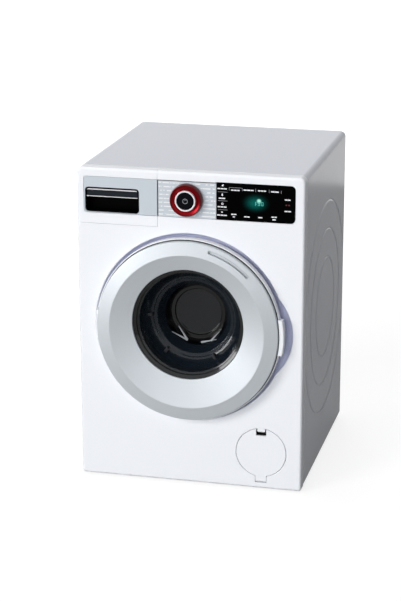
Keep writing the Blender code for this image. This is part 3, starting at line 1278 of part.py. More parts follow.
def build_drum():
    """The drum with its paddles, shaft and gear, which turn together."""
    drum_axis = axis_empty("drum_axis", place(0, 0, DRUM_Z))
    inner = DRUM_RADIUS - DRUM_WALL
    shell = [
        (DRUM_MOUTH_RADIUS, DRUM_FRONT_DEPTH),
        (DRUM_RADIUS, DRUM_FRONT_DEPTH),
        (DRUM_RADIUS, DRUM_BACK_DEPTH),
        (inner, DRUM_BACK_DEPTH),
        (inner, DRUM_FRONT_DEPTH + DRUM_WALL),
        (DRUM_MOUTH_RADIUS, DRUM_FRONT_DEPTH + DRUM_WALL),
    ]
    finish(cut(turned_at("drum_shell", shell, 0, DRUM_Z, DRUM_STEPS), drum_holes()), "drum_silver", drum_axis)
    bore = SHAFT_RADIUS + SEAM
    hub_front = DRUM_FLOOR_DEPTH - DRUM_HUB_LENGTH
    back = [
        (bore, hub_front),
        (DRUM_HUB_RADIUS, hub_front),
        (DRUM_HUB_RADIUS, DRUM_FLOOR_DEPTH),
        (inner - SEAM, DRUM_FLOOR_DEPTH),
        (inner - SEAM, DRUM_BACK_DEPTH),
        (bore, DRUM_BACK_DEPTH),
    ]
    finish(turned_at("drum_back", back, 0, DRUM_Z, DRUM_STEPS), "drum_silver", drum_axis)
    base_radius = math.sqrt((inner - SEAM) ** 2 - (PADDLE_BASE / 2) ** 2)
    for number in range(PADDLE_COUNT):
        angle = math.pi / 2 + math.tau * number / PADDLE_COUNT
        paddle = extruded(f"paddle_{number + 1}", paddle_outline(angle, base_radius),
                          (PADDLE_FRONT_DEPTH, PADDLE_BACK_DEPTH))
        finish(paddle, "grey_plastic", drum_axis)
    finish(disc("drum_shaft", SHAFT_RADIUS, 0, DRUM_Z, (hub_front, PLATE_BACK + OVERRUN)), "steel", drum_axis)
    gear = extruded("drum_gear", gear_outline(DRUM_GEAR_TEETH, DRUM_GEAR_MODULE, 0, DRUM_Z, -math.pi / 2),
                    (DRUM_GEAR_DEPTH, DRUM_GEAR_DEPTH + DRUM_GEAR_WIDTH))
    cut(gear, disc("drum_gear_bore", bore, 0, DRUM_Z,
                   (DRUM_GEAR_DEPTH - OVERRUN, DRUM_GEAR_DEPTH + DRUM_GEAR_WIDTH + OVERRUN)))
    finish(gear, "gear_plastic", drum_axis)


def paddle_outline(angle, base_radius):
    """A lifter's outline, seated on the drum's wall and pointing at its axis."""
    outward = (math.cos(angle), math.sin(angle))
    sideways = (-math.sin(angle), math.cos(angle))
    tip_radius = base_radius - PADDLE_RISE
    corners = [(base_radius, -PADDLE_BASE / 2), (base_radius, PADDLE_BASE / 2),
               (tip_radius, PADDLE_TIP / 2), (tip_radius, -PADDLE_TIP / 2)]
    return [(outward[0] * r + sideways[0] * s, DRUM_Z + outward[1] * r + sideways[1] * s)
            for r, s in corners]


def gear_outline(teeth, module, x, z, tooth_angle):
    """A spur gear's outline with one tooth's middle at the given angle."""
    pitch = teeth * module / 2
    base = pitch * math.cos(PRESSURE_ANGLE)
    root = pitch - DEDENDUM_SHARE * module
    tip = pitch + ADDENDUM_SHARE * module
    half_tooth = math.pi / 2 / teeth - BACKLASH_SHARE * module / 2 / pitch

    def half_angle(radius):
        """Half the tooth's angle at a radius, along an involute."""
        rolled = math.acos(min(1.0, base / radius))
        return half_tooth + involute(PRESSURE_ANGLE) - involute(rolled)

    start = max(root, base)
    flank = [(root, half_angle(start)), (tip, half_angle(tip))]
    if start - root > UNDERCUT_SHARE * module:
        flank.insert(1, (start, half_angle(start)))
    outline = []
    for tooth in range(teeth):
        middle = tooth_angle + math.tau * tooth / teeth
        outline += [polar(x, z, radius, middle - half) for radius, half in flank]
        outline += [polar(x, z, radius, middle + half) for radius, half in reversed(flank)]
    return outline


def involute(angle):
    """The involute function of an angle."""
    return math.tan(angle) - angle


def polar(x, z, radius, angle):
    """A point at a radius and an angle about a centre."""
    return (x + radius * math.cos(angle), z + radius * math.sin(angle))


def build_drive():
    """Idler, motor pinion, motor and the plate that carries them behind the tub."""
    idler_axis = axis_empty("idler_axis", place(0, 0, IDLER_Z))
    wheel_end = IDLER_WHEEL_DEPTH + IDLER_WHEEL_WIDTH
    half_pitch = math.pi / IDLER_PINION_TEETH
    idler = extruded("idler_gear", gear_outline(IDLER_PINION_TEETH, DRUM_GEAR_MODULE, 0, IDLER_Z,
                                                math.pi / 2 + half_pitch),
                     (DRUM_GEAR_DEPTH, IDLER_WHEEL_DEPTH + JOIN_DEPTH))
    wheel = extruded("idler_wheel",
                     gear_outline(IDLER_WHEEL_TEETH, MOTOR_GEAR_MODULE, 0, IDLER_Z, -math.pi / 2),
                     (IDLER_WHEEL_DEPTH, wheel_end))
    join(idler, wheel)
    cut(idler, disc("idler_bore", IDLER_AXLE_RADIUS + SEAM, 0, IDLER_Z,
                    (DRUM_GEAR_DEPTH - OVERRUN, wheel_end + OVERRUN)))
    finish(idler, "gear_plastic", idler_axis)
    finish(disc("idler_axle", IDLER_AXLE_RADIUS, 0, IDLER_Z, (TUB_BACK_DEPTH + SEAM, PLATE_BACK)), "steel")
    pinion_axis = axis_empty("pinion_axis", place(0, 0, MOTOR_Z))
    pinion = extruded("motor_pinion", gear_outline(MOTOR_PINION_TEETH, MOTOR_GEAR_MODULE, 0, MOTOR_Z,
                                                   math.pi / 2 + math.pi / MOTOR_PINION_TEETH),
                      (IDLER_WHEEL_DEPTH, wheel_end))
    join(pinion, disc("pinion_shaft", MOTOR_SHAFT_RADIUS, 0, MOTOR_Z,
                      (IDLER_WHEEL_DEPTH + JOIN_DEPTH, PLATE_BACK)))
    finish(pinion, "brass", pinion_axis)
    plate = block("gearbox_plate", (-GEARBOX_PLATE_HALF_WIDTH, GEARBOX_PLATE_HALF_WIDTH),
                  (PLATE_DEPTH, PLATE_BACK), (MOTOR_Z - GEARBOX_PLATE_MARGIN, DRUM_Z + GEARBOX_PLATE_MARGIN))
    bores = {
        "bush": (BUSH_RADIUS, DRUM_Z),
        "axle": (IDLER_AXLE_RADIUS, IDLER_Z),
        "motor": (MOTOR_BOSS_RADIUS, MOTOR_Z),
    }
    for name, (radius, z) in bores.items():
        cut(plate, disc(f"plate_{name}_bore", radius + SEAM, 0, z,
                        (PLATE_DEPTH - OVERRUN, PLATE_BACK + OVERRUN)))
    finish(plate, "steel")
    build_bush("rear_bush", PLATE_DEPTH, GEARBOX_PLATE_THICKNESS)
    shaft_room = MOTOR_SHAFT_RADIUS + SEAM
    front = PLATE_BACK + SEAM
    motor = [
        (0, front),
        (shaft_room, front),
        (shaft_room, PLATE_DEPTH + SEAM),
        (MOTOR_BOSS_RADIUS, PLATE_DEPTH + SEAM),
        (MOTOR_BOSS_RADIUS, front),
        (MOTOR_RADIUS, front),
        (MOTOR_RADIUS, front + MOTOR_LENGTH),
        (0, front + MOTOR_LENGTH),
    ]
    finish(turned_at("motor", motor, 0, MOTOR_Z, SMALL_STEPS), "steel")


def build_flap():
    """The service flap on its pin, and the well behind it."""
    flap_axis = axis_empty("flap_axis", place(FLAP_X, FLAP_BARREL_RADIUS, FLAP_HINGE_Z))
    half_tab = FLAP_TAB_WIDTH / 2
    tab_across = (FLAP_X - half_tab, FLAP_X + half_tab)
    flap = disc("drain_flap", FLAP_RADIUS, FLAP_X, FLAP_Z, (0, FLAP_THICKNESS), DRUM_STEPS)
    barrel = rod("flap_barrel", FLAP_BARREL_RADIUS, place(tab_across[0], FLAP_BARREL_RADIUS, FLAP_HINGE_Z),
                 place(tab_across[1], FLAP_BARREL_RADIUS, FLAP_HINGE_Z))
    tab = block("flap_tab", tab_across, (0, FLAP_THICKNESS), (FLAP_HINGE_Z, FLAP_Z - FLAP_RADIUS / 2))
    join(flap, tab, barrel)
    half_notch = FLAP_NOTCH_WIDTH / 2
    notch_z = FLAP_Z + FLAP_NOTCH_RISE
    notch = rounded_outline((FLAP_X - half_notch, FLAP_X + half_notch),
                            (notch_z - FLAP_NOTCH_HEIGHT / 2, notch_z + FLAP_NOTCH_HEIGHT / 2),
                            [FLAP_NOTCH_CORNER] * 4)
    cut(flap, extruded("flap_notch", notch, (-OVERRUN, FLAP_THICKNESS + OVERRUN)),
        rod("barrel_bore", FLAP_PIN_BORE, place(tab_across[0] - OVERRUN, FLAP_BARREL_RADIUS, FLAP_HINGE_Z),
            place(tab_across[1] + OVERRUN, FLAP_BARREL_RADIUS, FLAP_HINGE_Z)))
    finish(flap, "white_plastic", flap_axis)
    reach = half_tab + FLAP_PIN_OVERHANG
    finish(rod("flap_pin", FLAP_PIN_RADIUS, place(FLAP_X - reach, FLAP_BARREL_RADIUS, FLAP_HINGE_Z),
               place(FLAP_X + reach, FLAP_BARREL_RADIUS, FLAP_HINGE_Z)), "steel")
    front = FRONT_WALL + SEAM
    well = [
        (0, front + WELL_LENGTH),
        (WELL_RADIUS, front + WELL_LENGTH),
        (WELL_RADIUS, front),
        (WELL_RADIUS - WELL_WALL, front),
        (WELL_RADIUS - WELL_WALL, front + WELL_LENGTH - WELL_WALL),
        (0, front + WELL_LENGTH - WELL_WALL),
    ]
    finish(turned_at("flap_well", well, FLAP_X, FLAP_Z, DRUM_STEPS), "grey_plastic")


def battery_pocket():
    """The pocket that holds the cells, across, in depth and in height."""
    half = CELL_LENGTH / 2 + TIP_LENGTH + CELL_GAP
    low = BASE_TOP + SEAM + BATTERY_WALL
    height = CELL_COUNT * 2 * CELL_RADIUS + (CELL_COUNT + 1) * CELL_GAP
    back = COVER_DEPTH - SEAM
    return (-half, half), (back - 2 * CELL_RADIUS - 2 * CELL_GAP, back), (low, low + height)


def battery_screw_z():
    """The height of the battery door's screw."""
    return battery_pocket()[2][1] + BATTERY_WALL + BATTERY_BOSS_HEIGHT / 2


def battery_door_span():
    """The battery door across and in height."""
    across, _, heights = battery_pocket()
    return grown(across, BATTERY_DOOR_MARGIN), (heights[0], heights[1] + BATTERY_WALL + BATTERY_BOSS_HEIGHT)


def build_batteries():
    """The battery tray on the base, its cells, and the screwed door in the back."""
    across, depths, heights = battery_pocket()
    tray = block("battery_tray", grown(across, BATTERY_WALL), (depths[0] - BATTERY_WALL, depths[1]),
                 (heights[0] - BATTERY_WALL, heights[1] + BATTERY_WALL + BATTERY_BOSS_HEIGHT))
    screw_z = battery_screw_z()
    cut(tray, block("battery_pocket", across, (depths[0], depths[1] + OVERRUN), heights),
        disc("battery_screw_bore", SCREW_BORE, 0, screw_z, (depths[1] - SCREW_LENGTH, depths[1] + OVERRUN)))
    finish(tray, "black_plastic")
    middle = (depths[0] + depths[1]) / 2
    for number in range(CELL_COUNT):
        z = heights[0] + CELL_GAP + CELL_RADIUS + number * (2 * CELL_RADIUS + CELL_GAP)
        side = 1 if number % 2 else -1
        cell = rod(f"battery_cell_{number + 1}", CELL_RADIUS, place(-CELL_LENGTH / 2, middle, z),
                   place(CELL_LENGTH / 2, middle, z), SMALL_STEPS)
        tip = rod(f"cell_tip_{number + 1}", TIP_RADIUS, place(0, middle, z),
                  place(side * (CELL_LENGTH / 2 + TIP_LENGTH), middle, z))
        finish(join(cell, tip), "cell_jacket")
    door_across, door_height = battery_door_span()
    door = block("battery_door", door_across, (COVER_DEPTH, BODY_DEPTH), door_height)
    cut_screw_hole(door, "battery_door_hole", 0, screw_z)
    finish(door, "white_plastic")
    screw("battery_door_screw", 0, screw_z)


def main():
    """Build the whole toy."""
    clear_scene()
    build_front_panel()
    build_cabinet()
    build_back_cover()
    build_base()
    build_controls()
    build_selector()
    build_drawer()
    build_door()
    build_tub()
    build_drum()
    build_drive()
    build_flap()
    build_batteries()


main()
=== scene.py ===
"""Looks of a toy washing machine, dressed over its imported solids.

Metres, +Z up, +X to the right seen from the front, +Y from the front to the back. A depth is a
distance behind the plane of the front face, so what stands proud of that face has a negative one.
"""

from __future__ import annotations

import json
import logging
import math
from dataclasses import dataclass
from enum import Enum
from typing import ClassVar

import bmesh
import bpy
from mathutils import Matrix, Vector

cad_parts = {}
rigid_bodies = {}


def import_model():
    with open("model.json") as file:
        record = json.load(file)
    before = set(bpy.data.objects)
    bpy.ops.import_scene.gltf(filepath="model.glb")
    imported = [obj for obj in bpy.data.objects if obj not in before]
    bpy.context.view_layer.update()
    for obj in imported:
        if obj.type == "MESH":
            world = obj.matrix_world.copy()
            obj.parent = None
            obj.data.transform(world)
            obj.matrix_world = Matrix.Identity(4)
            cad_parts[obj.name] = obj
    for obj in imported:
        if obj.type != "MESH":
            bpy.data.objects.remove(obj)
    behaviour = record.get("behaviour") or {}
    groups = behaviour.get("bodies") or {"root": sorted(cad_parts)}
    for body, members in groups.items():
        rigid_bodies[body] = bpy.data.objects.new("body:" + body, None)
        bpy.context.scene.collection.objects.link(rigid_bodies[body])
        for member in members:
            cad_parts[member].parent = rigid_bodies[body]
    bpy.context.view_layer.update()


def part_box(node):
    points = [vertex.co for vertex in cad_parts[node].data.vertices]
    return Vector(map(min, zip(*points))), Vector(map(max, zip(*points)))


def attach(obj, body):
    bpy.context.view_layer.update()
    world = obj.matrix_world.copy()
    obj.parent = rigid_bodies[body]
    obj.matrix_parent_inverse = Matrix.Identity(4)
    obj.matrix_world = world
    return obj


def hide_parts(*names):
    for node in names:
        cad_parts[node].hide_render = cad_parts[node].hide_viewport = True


LOG = logging.getLogger("toy_washing_machine")
IMAGE_HEIGHT = 601
SHARP_ANGLE = math.radians(34)
WELD_DISTANCE = 1e-6
OVERRUN = 0.002  # how far a helper solid runs past what it cuts
SIDES = (-1, 1)
UNLIT = (0.0, 0.0, 0.0)
PLAIN = (1.0, 1.0, 1.0)
FINE_STEPS = 192
ROUND_STEPS = 96
SMALL_STEPS = 48
FILLET_STEPS = 5

Point = tuple[float, float]
Corner = tuple[float, float, float]
Span = tuple[float, float]
Colour = tuple[float, float, float]
Place = tuple[float, float, float]


class Slot(Enum):
    """The record's material slots."""

    WHITE = "white_plastic"
    SILVER = "silver_paint"
    RING = "ring_silver"
    BLACK_GLOSS = "black_gloss"
    BLACK = "black_plastic"
    RED = "red_gloss"
    CHROME = "chrome_trim"
    WINDOW = "smoked_window"
    GREY = "grey_plastic"
    DRUM = "drum_silver"
    GREY_RUBBER = "grey_rubber"
    BLACK_RUBBER = "black_rubber"
    STEEL = "steel"
    BRASS = "brass"
    GEAR = "gear_plastic"
    BOARD = "board_green"
    CELL = "cell_jacket"


class Operation(Enum):
    """What a helper solid does to a piece."""

    CUT = "DIFFERENCE"
    JOIN = "UNION"
    KEEP = "INTERSECT"


# Shader graphs


class Value:
    """A number in a shader graph, on which Python's operators add Math nodes."""

    def __init__(self, graph: Graph, socket: bpy.types.NodeSocket) -> None:
        """Wrap one output socket of a graph."""
        self.graph = graph
        self.socket = socket

    def _math(self, operation: str, *operands: Value | float) -> Value:
        """Add a Math node on the operands."""
        inputs = dict(enumerate(operands))
        return self.graph.value("ShaderNodeMath", {"operation": operation}, inputs)

    def __add__(self, other: Value | float) -> Value:
        """The sum."""
        return self._math("ADD", self, other)

    __radd__ = __add__

    def __sub__(self, other: Value | float) -> Value:
        """The difference."""
        return self._math("SUBTRACT", self, other)

    def __rsub__(self, other: Value | float) -> Value:
        """The difference, the other way round."""
        return self._math("SUBTRACT", other, self)

    def __mul__(self, other: Value | float) -> Value:
        """The product."""
        return self._math("MULTIPLY", self, other)

    __rmul__ = __mul__

    def __truediv__(self, other: Value | float) -> Value:
        """The quotient."""
        return self._math("DIVIDE", self, other)

    def __rtruediv__(self, other: Value | float) -> Value:
        """The quotient, the other way round."""
        return self._math("DIVIDE", other, self)

    def __pow__(self, other: Value | float) -> Value:
        """The power."""
        return self._math("POWER", self, other)

    def __gt__(self, other: Value | float) -> Value:
        """One where this is larger, and zero elsewhere."""
        return self._math("GREATER_THAN", self, other)

    def __lt__(self, other: Value | float) -> Value:
        """One where this is smaller, and zero elsewhere."""
        return self._math("LESS_THAN", self, other)

    def __abs__(self) -> Value:
        """The size without its sign."""
        return self._math("ABSOLUTE", self)

    def fraction(self) -> Value:
        """What is left after the whole number."""
        return self._math("FRACT", self)

    def clamped(self) -> Value:
        """The value kept between zero and one."""
        return self.graph.value("ShaderNodeClamp", {}, {"Value": self})

    def smooth(self, low: float, high: float) -> Value:
        """Zero below low, one above high, with a soft step between them.

        Args:
            low: Where the step starts.
            high: Where the step ends.

        Returns:
            The stepped value.
        """
        settings = {"interpolation_type": "SMOOTHSTEP"}
        inputs = {"Value": self, "From Min": low, "From Max": high}
        return self.graph.value("ShaderNodeMapRange", settings, inputs)


class Graph:
    """The node graph of one material."""

    def __init__(self, material: bpy.types.Material) -> None:
        """Take over a material's nodes.

        Args:
            material: The material, with its nodes in use.
        """
        self.tree = material.node_tree
        self.shader = self.tree.nodes["Principled BSDF"]
        self.coordinates = self.node("ShaderNodeTexCoord").outputs["Object"]
        self._axes: bpy.types.Node | None = None

    def node(
        self,
        kind: str,
        settings: dict[str, object] | None = None,
        inputs: dict[int | str, object] | None = None,
    ) -> bpy.types.Node:
        """Add a node.

        Args:
            kind: The node's type name.
            settings: What is set on the node itself, before its sockets.
            inputs: Values or links of its input sockets, by name or number.

        Returns:
            The node.
        """
        made = self.tree.nodes.new(kind)
        for name, setting in (settings or {}).items():
            setattr(made, name, setting)
        for key, item in (inputs or {}).items():
            self.feed(made.inputs[key], item)
        return made

    def feed(self, socket: bpy.types.NodeSocket, item: object) -> None:
        """Set a socket to a value, or link it to a Value or another socket.

        Args:
            socket: The input socket.
            item: A Value, an output socket, or what the socket takes by itself.
        """
        if isinstance(item, Value):
            self.tree.links.new(item.socket, socket)
        elif isinstance(item, bpy.types.NodeSocket):
            self.tree.links.new(item, socket)
        elif isinstance(item, tuple) and len(item) == 3 and socket.type == "RGBA":
            socket.default_value = (*item, 1.0)
        else:
            socket.default_value = item

    def shade(self, inputs: dict[str, object]) -> None:
        """Set or link the shader's inputs, by their names."""
        for name, item in inputs.items():
            self.feed(self.shader.inputs[name], item)

    def value(
        self, kind: str, settings: dict[str, object], inputs: dict[int | str, object]
    ) -> Value:
        """Add a node and wrap its first output."""
        return Value(self, self.node(kind, settings, inputs).outputs[0])

    def axis(self, letter: str) -> Value:
        """One of the object's own coordinates.

        Args:
            letter: The axis, as X, Y or Z.

        Returns:
            The coordinate.
        """
        if self._axes is None:
            self._axes = self.node("ShaderNodeSeparateXYZ", {}, {"Vector": self.coordinates})
        return Value(self, self._axes.outputs[letter])

    def noise(self, scale: float, detail: float = 2.0, stretch: Place = PLAIN) -> Value:
        """Noise over the object.

        Args:
            scale: Waves to the metre.
            detail: How many finer layers it has.
            stretch: Its scale along each axis.

        Returns:
            The noise, from zero to one.
        """
        vector: object = self.coordinates
        if stretch != PLAIN:
            scaled = {"Vector": vector, "Scale": stretch}
            vector = self.node("ShaderNodeMapping", {}, scaled).outputs[0]
        inputs = {"Vector": vector, "Scale": scale, "Detail": detail}
        return self.value("ShaderNodeTexNoise", {}, inputs)

    def radius(self, x: float, z: float) -> Value:
        """The distance from an axis that runs straight back.

        Args:
            x: The axis's place across.
            z: The axis's height.

        Returns:
            The distance.
        """
        across = self.axis("X") - x
        up = self.axis("Z") - z
        return (across * across + up * up) ** 0.5

    def blend(self, mask: Value, first: object, second: object) -> bpy.types.NodeSocket:
        """Mix two colours by a mask, which is zero for the first."""
        settings = {"data_type": "RGBA"}
        return self.node("ShaderNodeMix", settings, {0: mask, 6: first, 7: second}).outputs[2]

    def bump(self, height: Value, strength: float, distance: float) -> bpy.types.NodeSocket:
        """A Bump node's normal."""
        inputs = {"Height": height, "Strength": strength, "Distance": distance}
        return self.node("ShaderNodeBump", {}, inputs).outputs[0]


# Finishes


@dataclass(frozen=True)
class Finish:
    """A moulded, painted or plated surface with a fine grain and slight unevenness."""

    colour: Colour
    roughness: float
    metallic: float = 0.0
    coat: float = 0.0
    coat_roughness: float = 0.06
    specular: float = 0.5
    mottling: float = 0.03
    mottling_scale: float = 28.0
    mottling_detail: float = 3.0
    grain_scale: float = 1400.0
    grain_strength: float = 0.06
    grain_depth: float = 0.00008
    grain_stretch: Place = PLAIN
    roughness_spread: float = 0.05

    def make(self, name: str) -> bpy.types.Material:
        """Make the material.

        Args:
            name: The material's name.

        Returns:
            The material.
        """
        material = bpy.data.materials.new(name)
        material.use_nodes = True
        graph = Graph(material)
        graph.shade({"Metallic": self.metallic, "Coat Weight": self.coat,
                     "Coat Roughness": self.coat_roughness, "Specular IOR Level": self.specular})
        self.dress(graph)
        return material

    def dress(self, graph: Graph) -> None:
        """Feed the sockets that vary over the surface.

        Args:
            graph: The material's graph.
        """
        patches = graph.noise(self.mottling_scale, self.mottling_detail)
        grain = graph.noise(self.grain_scale, stretch=self.grain_stretch)
        spread = (patches - 0.5) * (2 * self.roughness_spread) + self.roughness
        graph.shade({"Base Color": self.paint(graph, patches), "Roughness": spread.clamped(),
                     "Normal": graph.bump(grain, self.grain_strength, self.grain_depth)})

    def shaded(self, share: float) -> Colour:
        """The colour, darkened to a share of itself."""
        return tuple(channel * share for channel in self.colour)

    def paint(self, graph: Graph, patches: Value) -> bpy.types.NodeSocket:
        """The colour over the surface, slightly darker in its patches."""
        return graph.blend(patches, self.colour, self.shaded(1 - 2 * self.mottling))


@dataclass(frozen=True)
class RecessShade(Finish):
    """A moulded surface with lavender painted shade where it lies behind the front face.

    The painted shade starts between the two depths `shallow` and `deep`, and fades in over the
    radii
    `hidden` about `centre`, so that the floor behind the closed door stays plain.
    """

    # Painted shade: the lavender of the dish's shaded walls, laid into their colour
    shade_tint: Colour = (0.60, 0.62, 0.80)
    face: float = 0.0
    shallow: float = 0.0004
    deep: float = 0.0030
    half_width: float = 0.087
    heights: Span = (0.055, 0.218)
    centre: Point = (0.0, 0.0)
    hidden: Span = (0.066, 0.073)

    def paint(self, graph: Graph, patches: Value) -> bpy.types.NodeSocket:
        """The colour, with painted shade in the recess and none on the outer edges.

        Args:
            graph: The material's graph.
            patches: The noise of the surface's unevenness.

        Returns:
            The colour's socket.
        """
        depth = graph.axis("Y") - self.face
        height = graph.axis("Z")
        within = (abs(graph.axis("X")) < self.half_width) * (height > self.heights[0])
        within = within * (height < self.heights[1])
        shown = graph.radius(*self.centre).smooth(*self.hidden)
        # The mask lays painted shade into the dish and the scoop behind the front face
        mask = depth.smooth(self.shallow, self.deep) * within * shown
        return graph.blend(mask, Finish.paint(self, graph, patches), self.shade_tint)


@dataclass(frozen=True)
class PrintedStrip(Finish):
    """Silver paint with rows of short pale marks printed on both sides of the selector."""

    ink: Colour = (0.93, 0.95, 0.97)
    centre: Point = (0.0, 0.0)
    row_pitch: float = 0.0032
    row_height: float = 0.0010
    rows_reach: float = 0.0140
    knob_reach: float = 0.0142
    outer_reach: float = 0.0230
    word_scale: float = 620.0
    word_stretch: Place = (1.0, 0.01, 0.6)
    word_step: Span = (0.40, 0.46)
    ink_strength: float = 0.75

    def paint(self, graph: Graph, patches: Value) -> bpy.types.NodeSocket:
        """The paint with its printed rows, each broken into words of uneven length.

        Args:
            graph: The material's graph.
            patches: The noise of the surface's unevenness.

        Returns:
            The colour's socket.
        """
        plain = Finish.paint(self, graph, patches)
        rise = graph.axis("Z") - self.centre[1]
        aside = abs(graph.axis("X") - self.centre[0])
        phase = (rise / self.row_pitch + 0.5).fraction()
        on_row = abs(phase - 0.5) < self.row_height / self.row_pitch / 2
        clear = graph.radius(*self.centre) > self.knob_reach
        within = (abs(rise) < self.rows_reach) * clear * (aside < self.outer_reach)
        words = graph.noise(self.word_scale, 1.0, self.word_stretch).smooth(*self.word_step)
        return graph.blend(on_row * within * words * self.ink_strength, plain, self.ink)


@dataclass(frozen=True)
class LitLens(Finish):
    """Black gloss with the glow of a lit display behind it."""

    glow: Colour = (0.004, 0.135, 0.115)
    centre: Point = (0.0, 0.0)
    spot_offset: Point = (0.0026, 0.0018)
    glow_reach: Point = (0.0140, 0.0100)
    spot_radius: float = 0.0023
    spot_core: float = 0.3
    spot_colour: Colour = (0.42, 1.0, 0.80)
    speckle_scale: float = 900.0
    speckle_spread: float = 0.9
    speckle_floor: float = 0.55
    glow_strength: float = 0.9

    def dress(self, graph: Graph) -> None:
        """Add the glow, which fades out from its middle, and the lit spot in it.

        Args:
            graph: The material's graph.
        """
        Finish.dress(self, graph)
        across = (graph.axis("X") - self.centre[0]) / self.glow_reach[0]
        up = (graph.axis("Z") - self.centre[1]) / self.glow_reach[1]
        light = 1 - ((across * across + up * up) ** 0.5).smooth(0.0, 1.0)
        speckle = graph.noise(self.speckle_scale) * self.speckle_spread + self.speckle_floor
        glow = graph.blend((light * light * speckle).clamped(), UNLIT, self.glow)
        core = self.spot_radius * self.spot_core
        away = graph.radius(*(middle + off for middle, off in zip(self.centre, self.spot_offset)))
        spot = 1 - away.smooth(core, self.spot_radius)
        glow = graph.blend(spot, glow, self.spot_colour)
        graph.shade({"Emission Color": glow, "Emission Strength": self.glow_strength})


@dataclass(frozen=True)
class Lit(Finish):
    """Ink or a display segment that shines by itself."""

    strength: float = 1.0

    def dress(self, graph: Graph) -> None:
        """Give the surface its own light.

        Args:
            graph: The material's graph.
        """
        Finish.dress(self, graph)
        graph.shade({"Emission Color": self.colour, "Emission Strength": self.strength})


@dataclass(frozen=True)
class Smoked(Finish):
    """Clear plastic, smoked dark, seen through in part."""

    alpha: float = 0.4

    def dress(self, graph: Graph) -> None:
        """Make the surface see-through."""
        Finish.dress(self, graph)
        graph.shade({"Alpha": self.alpha})


@dataclass(frozen=True)
class Bowl(Smoked):
    """A smoked bowl: a nose with painted rib shading, painted shade on the step round it, a tinted
    wall and a black flange.
    """

    centre: Point = (0.0, 0.0)
    nose_colour: Colour = (0.010, 0.0115, 0.014)
    # The step's near black is painted shade in the crease round the nose
    step_shade_colour: Colour = (0.001, 0.001, 0.0015)
    wall_colour: Colour = (0.011, 0.018, 0.027)
    nose_radius: float = 0.0196
    step_radius: float = 0.0262
    wall_radius: float = 0.0420
    soft: float = 0.0008
    rib_pitch: float = 0.0016
    rib_shade_share: float = 0.55
    cloud_scale: float = 170.0
    cloud_spread: float = 0.5
    wall_share: float = 0.8
    nose_share: float = 0.9
    wall_alpha: float = 0.66
    nose_alpha: float = 0.95

    def dress(self, graph: Graph) -> None:
        """Colour the zones by their distance from the bowl's axis.

        Args:
            graph: The material's graph.
        """
        Finish.dress(self, graph)
        away = graph.radius(*self.centre)
        nose = 1 - away.smooth(self.nose_radius - self.soft, self.nose_radius)
        step = 1 - away.smooth(self.step_radius - self.soft, self.step_radius)
        wall = 1 - away.smooth(self.wall_radius - self.soft, self.wall_radius)
        phase = (graph.axis("Z") / self.rib_pitch).fraction()
        # Painted rib shading: darker stripes across the flat nose
        rib_shading = abs(phase - 0.5) * (2 * self.rib_shade_share) + (1 - self.rib_shade_share)
        level = graph.noise(self.cloud_scale) * self.cloud_spread + (1 - self.cloud_spread / 2)
        tinted = (level * self.wall_share).clamped()
        tinted = graph.blend(tinted, self.step_shade_colour, self.wall_colour)
        ribbed = (rib_shading * level * self.nose_share).clamped()
        ribbed = graph.blend(ribbed, self.step_shade_colour, self.nose_colour)
        colour = graph.blend(wall, self.colour, tinted)
        colour = graph.blend(step, colour, self.step_shade_colour)
        colour = graph.blend(nose, colour, ribbed)
        alpha = (1 - wall) * self.alpha + (wall - step) * self.wall_alpha
        alpha = alpha + step * self.nose_alpha
        graph.shade({"Base Color": colour, "Alpha": alpha.clamped()})


@dataclass(frozen=True)
class RedGloss(Finish):
    """Tinted gloss with painted shade darkening its rim, and faint turned lines."""

    centre: Point = (0.0, 0.0)
    inner: float = 0.0100
    outer: float = 0.0130
    line_pitch: float = 0.0006
    line_strength: float = 0.15
    rim_shade_strength: float = 0.8
    rim_shade_share: float = 0.30

    def paint(self, graph: Graph, patches: Value) -> bpy.types.NodeSocket:
        """The colour, with painted shade that darkens it towards the rim.

        Args:
            graph: The material's graph.
            patches: The noise of the surface's unevenness.

        Returns:
            The colour's socket.
        """
        away = graph.radius(*self.centre)
        lines = abs((away / self.line_pitch).fraction() - 0.5) * self.line_strength
        # Painted shade: the colour darkens towards the rim
        rim = away.smooth(self.inner, self.outer) * self.rim_shade_strength
        return graph.blend((rim + lines).clamped(), self.colour, self.shaded(self.rim_shade_share))


# Meshes


@dataclass(frozen=True)
class Body:
    """The places that the sub-assemblies share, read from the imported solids."""

    half_width: float
    bottom: float
    top: float
    front: float
    back: float
    seam: float

    @classmethod
    def from_frame(cls) -> Body:
        """Read the body's box from the cabinet and the drawer front.

        Returns:
            The places.
        """
        low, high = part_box("cabinet")
        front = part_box("drawer_front")[0].y
        return cls(high.x, low.z, high.z, front, high.y, low.y - front)

    def at(self, x: float, depth: float, z: float) -> Vector:
        """The point at a depth behind the front face."""
        return Vector((x, self.front + depth, z))

    def depth(self, y: float) -> float:
        """The depth of a place along Y."""
        return y - self.front


def centre_of(node: str) -> Point:
    """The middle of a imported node, across and up."""
    low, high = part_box(node)
    return (low.x + high.x) / 2, (low.z + high.z) / 2


def spans_of(node: str, body: Body) -> tuple[Span, Span, Span]:
    """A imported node's box as spans across, in depth and up."""
    low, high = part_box(node)
    return (low.x, high.x), (body.depth(low.y), body.depth(high.y)), (low.z, high.z)


def grown(span: Span, margin: float) -> Span:
    """A span made longer by a margin at both ends."""
    return span[0] - margin, span[1] + margin


def to_object(name: str, bm: bmesh.types.BMesh) -> bpy.types.Object:
    """Put a bmesh into a new object in the scene.

    Args:
        name: The object's name.
        bm: The bmesh, which is freed.

    Returns:
        The object.
    """
    mesh = bpy.data.meshes.new(name)
    bm.to_mesh(mesh)
    bm.free()
    made = bpy.data.objects.new(name, mesh)
    bpy.context.scene.collection.objects.link(made)
    return made


def tube(radii: Span, depths: Span) -> list[Point]:
    """The profile of a tube, or of a disc where the first radius is zero."""
    (inner, outer), (near, far) = radii, depths
    return [(inner, near), (outer, near), (outer, far), (inner, far)]


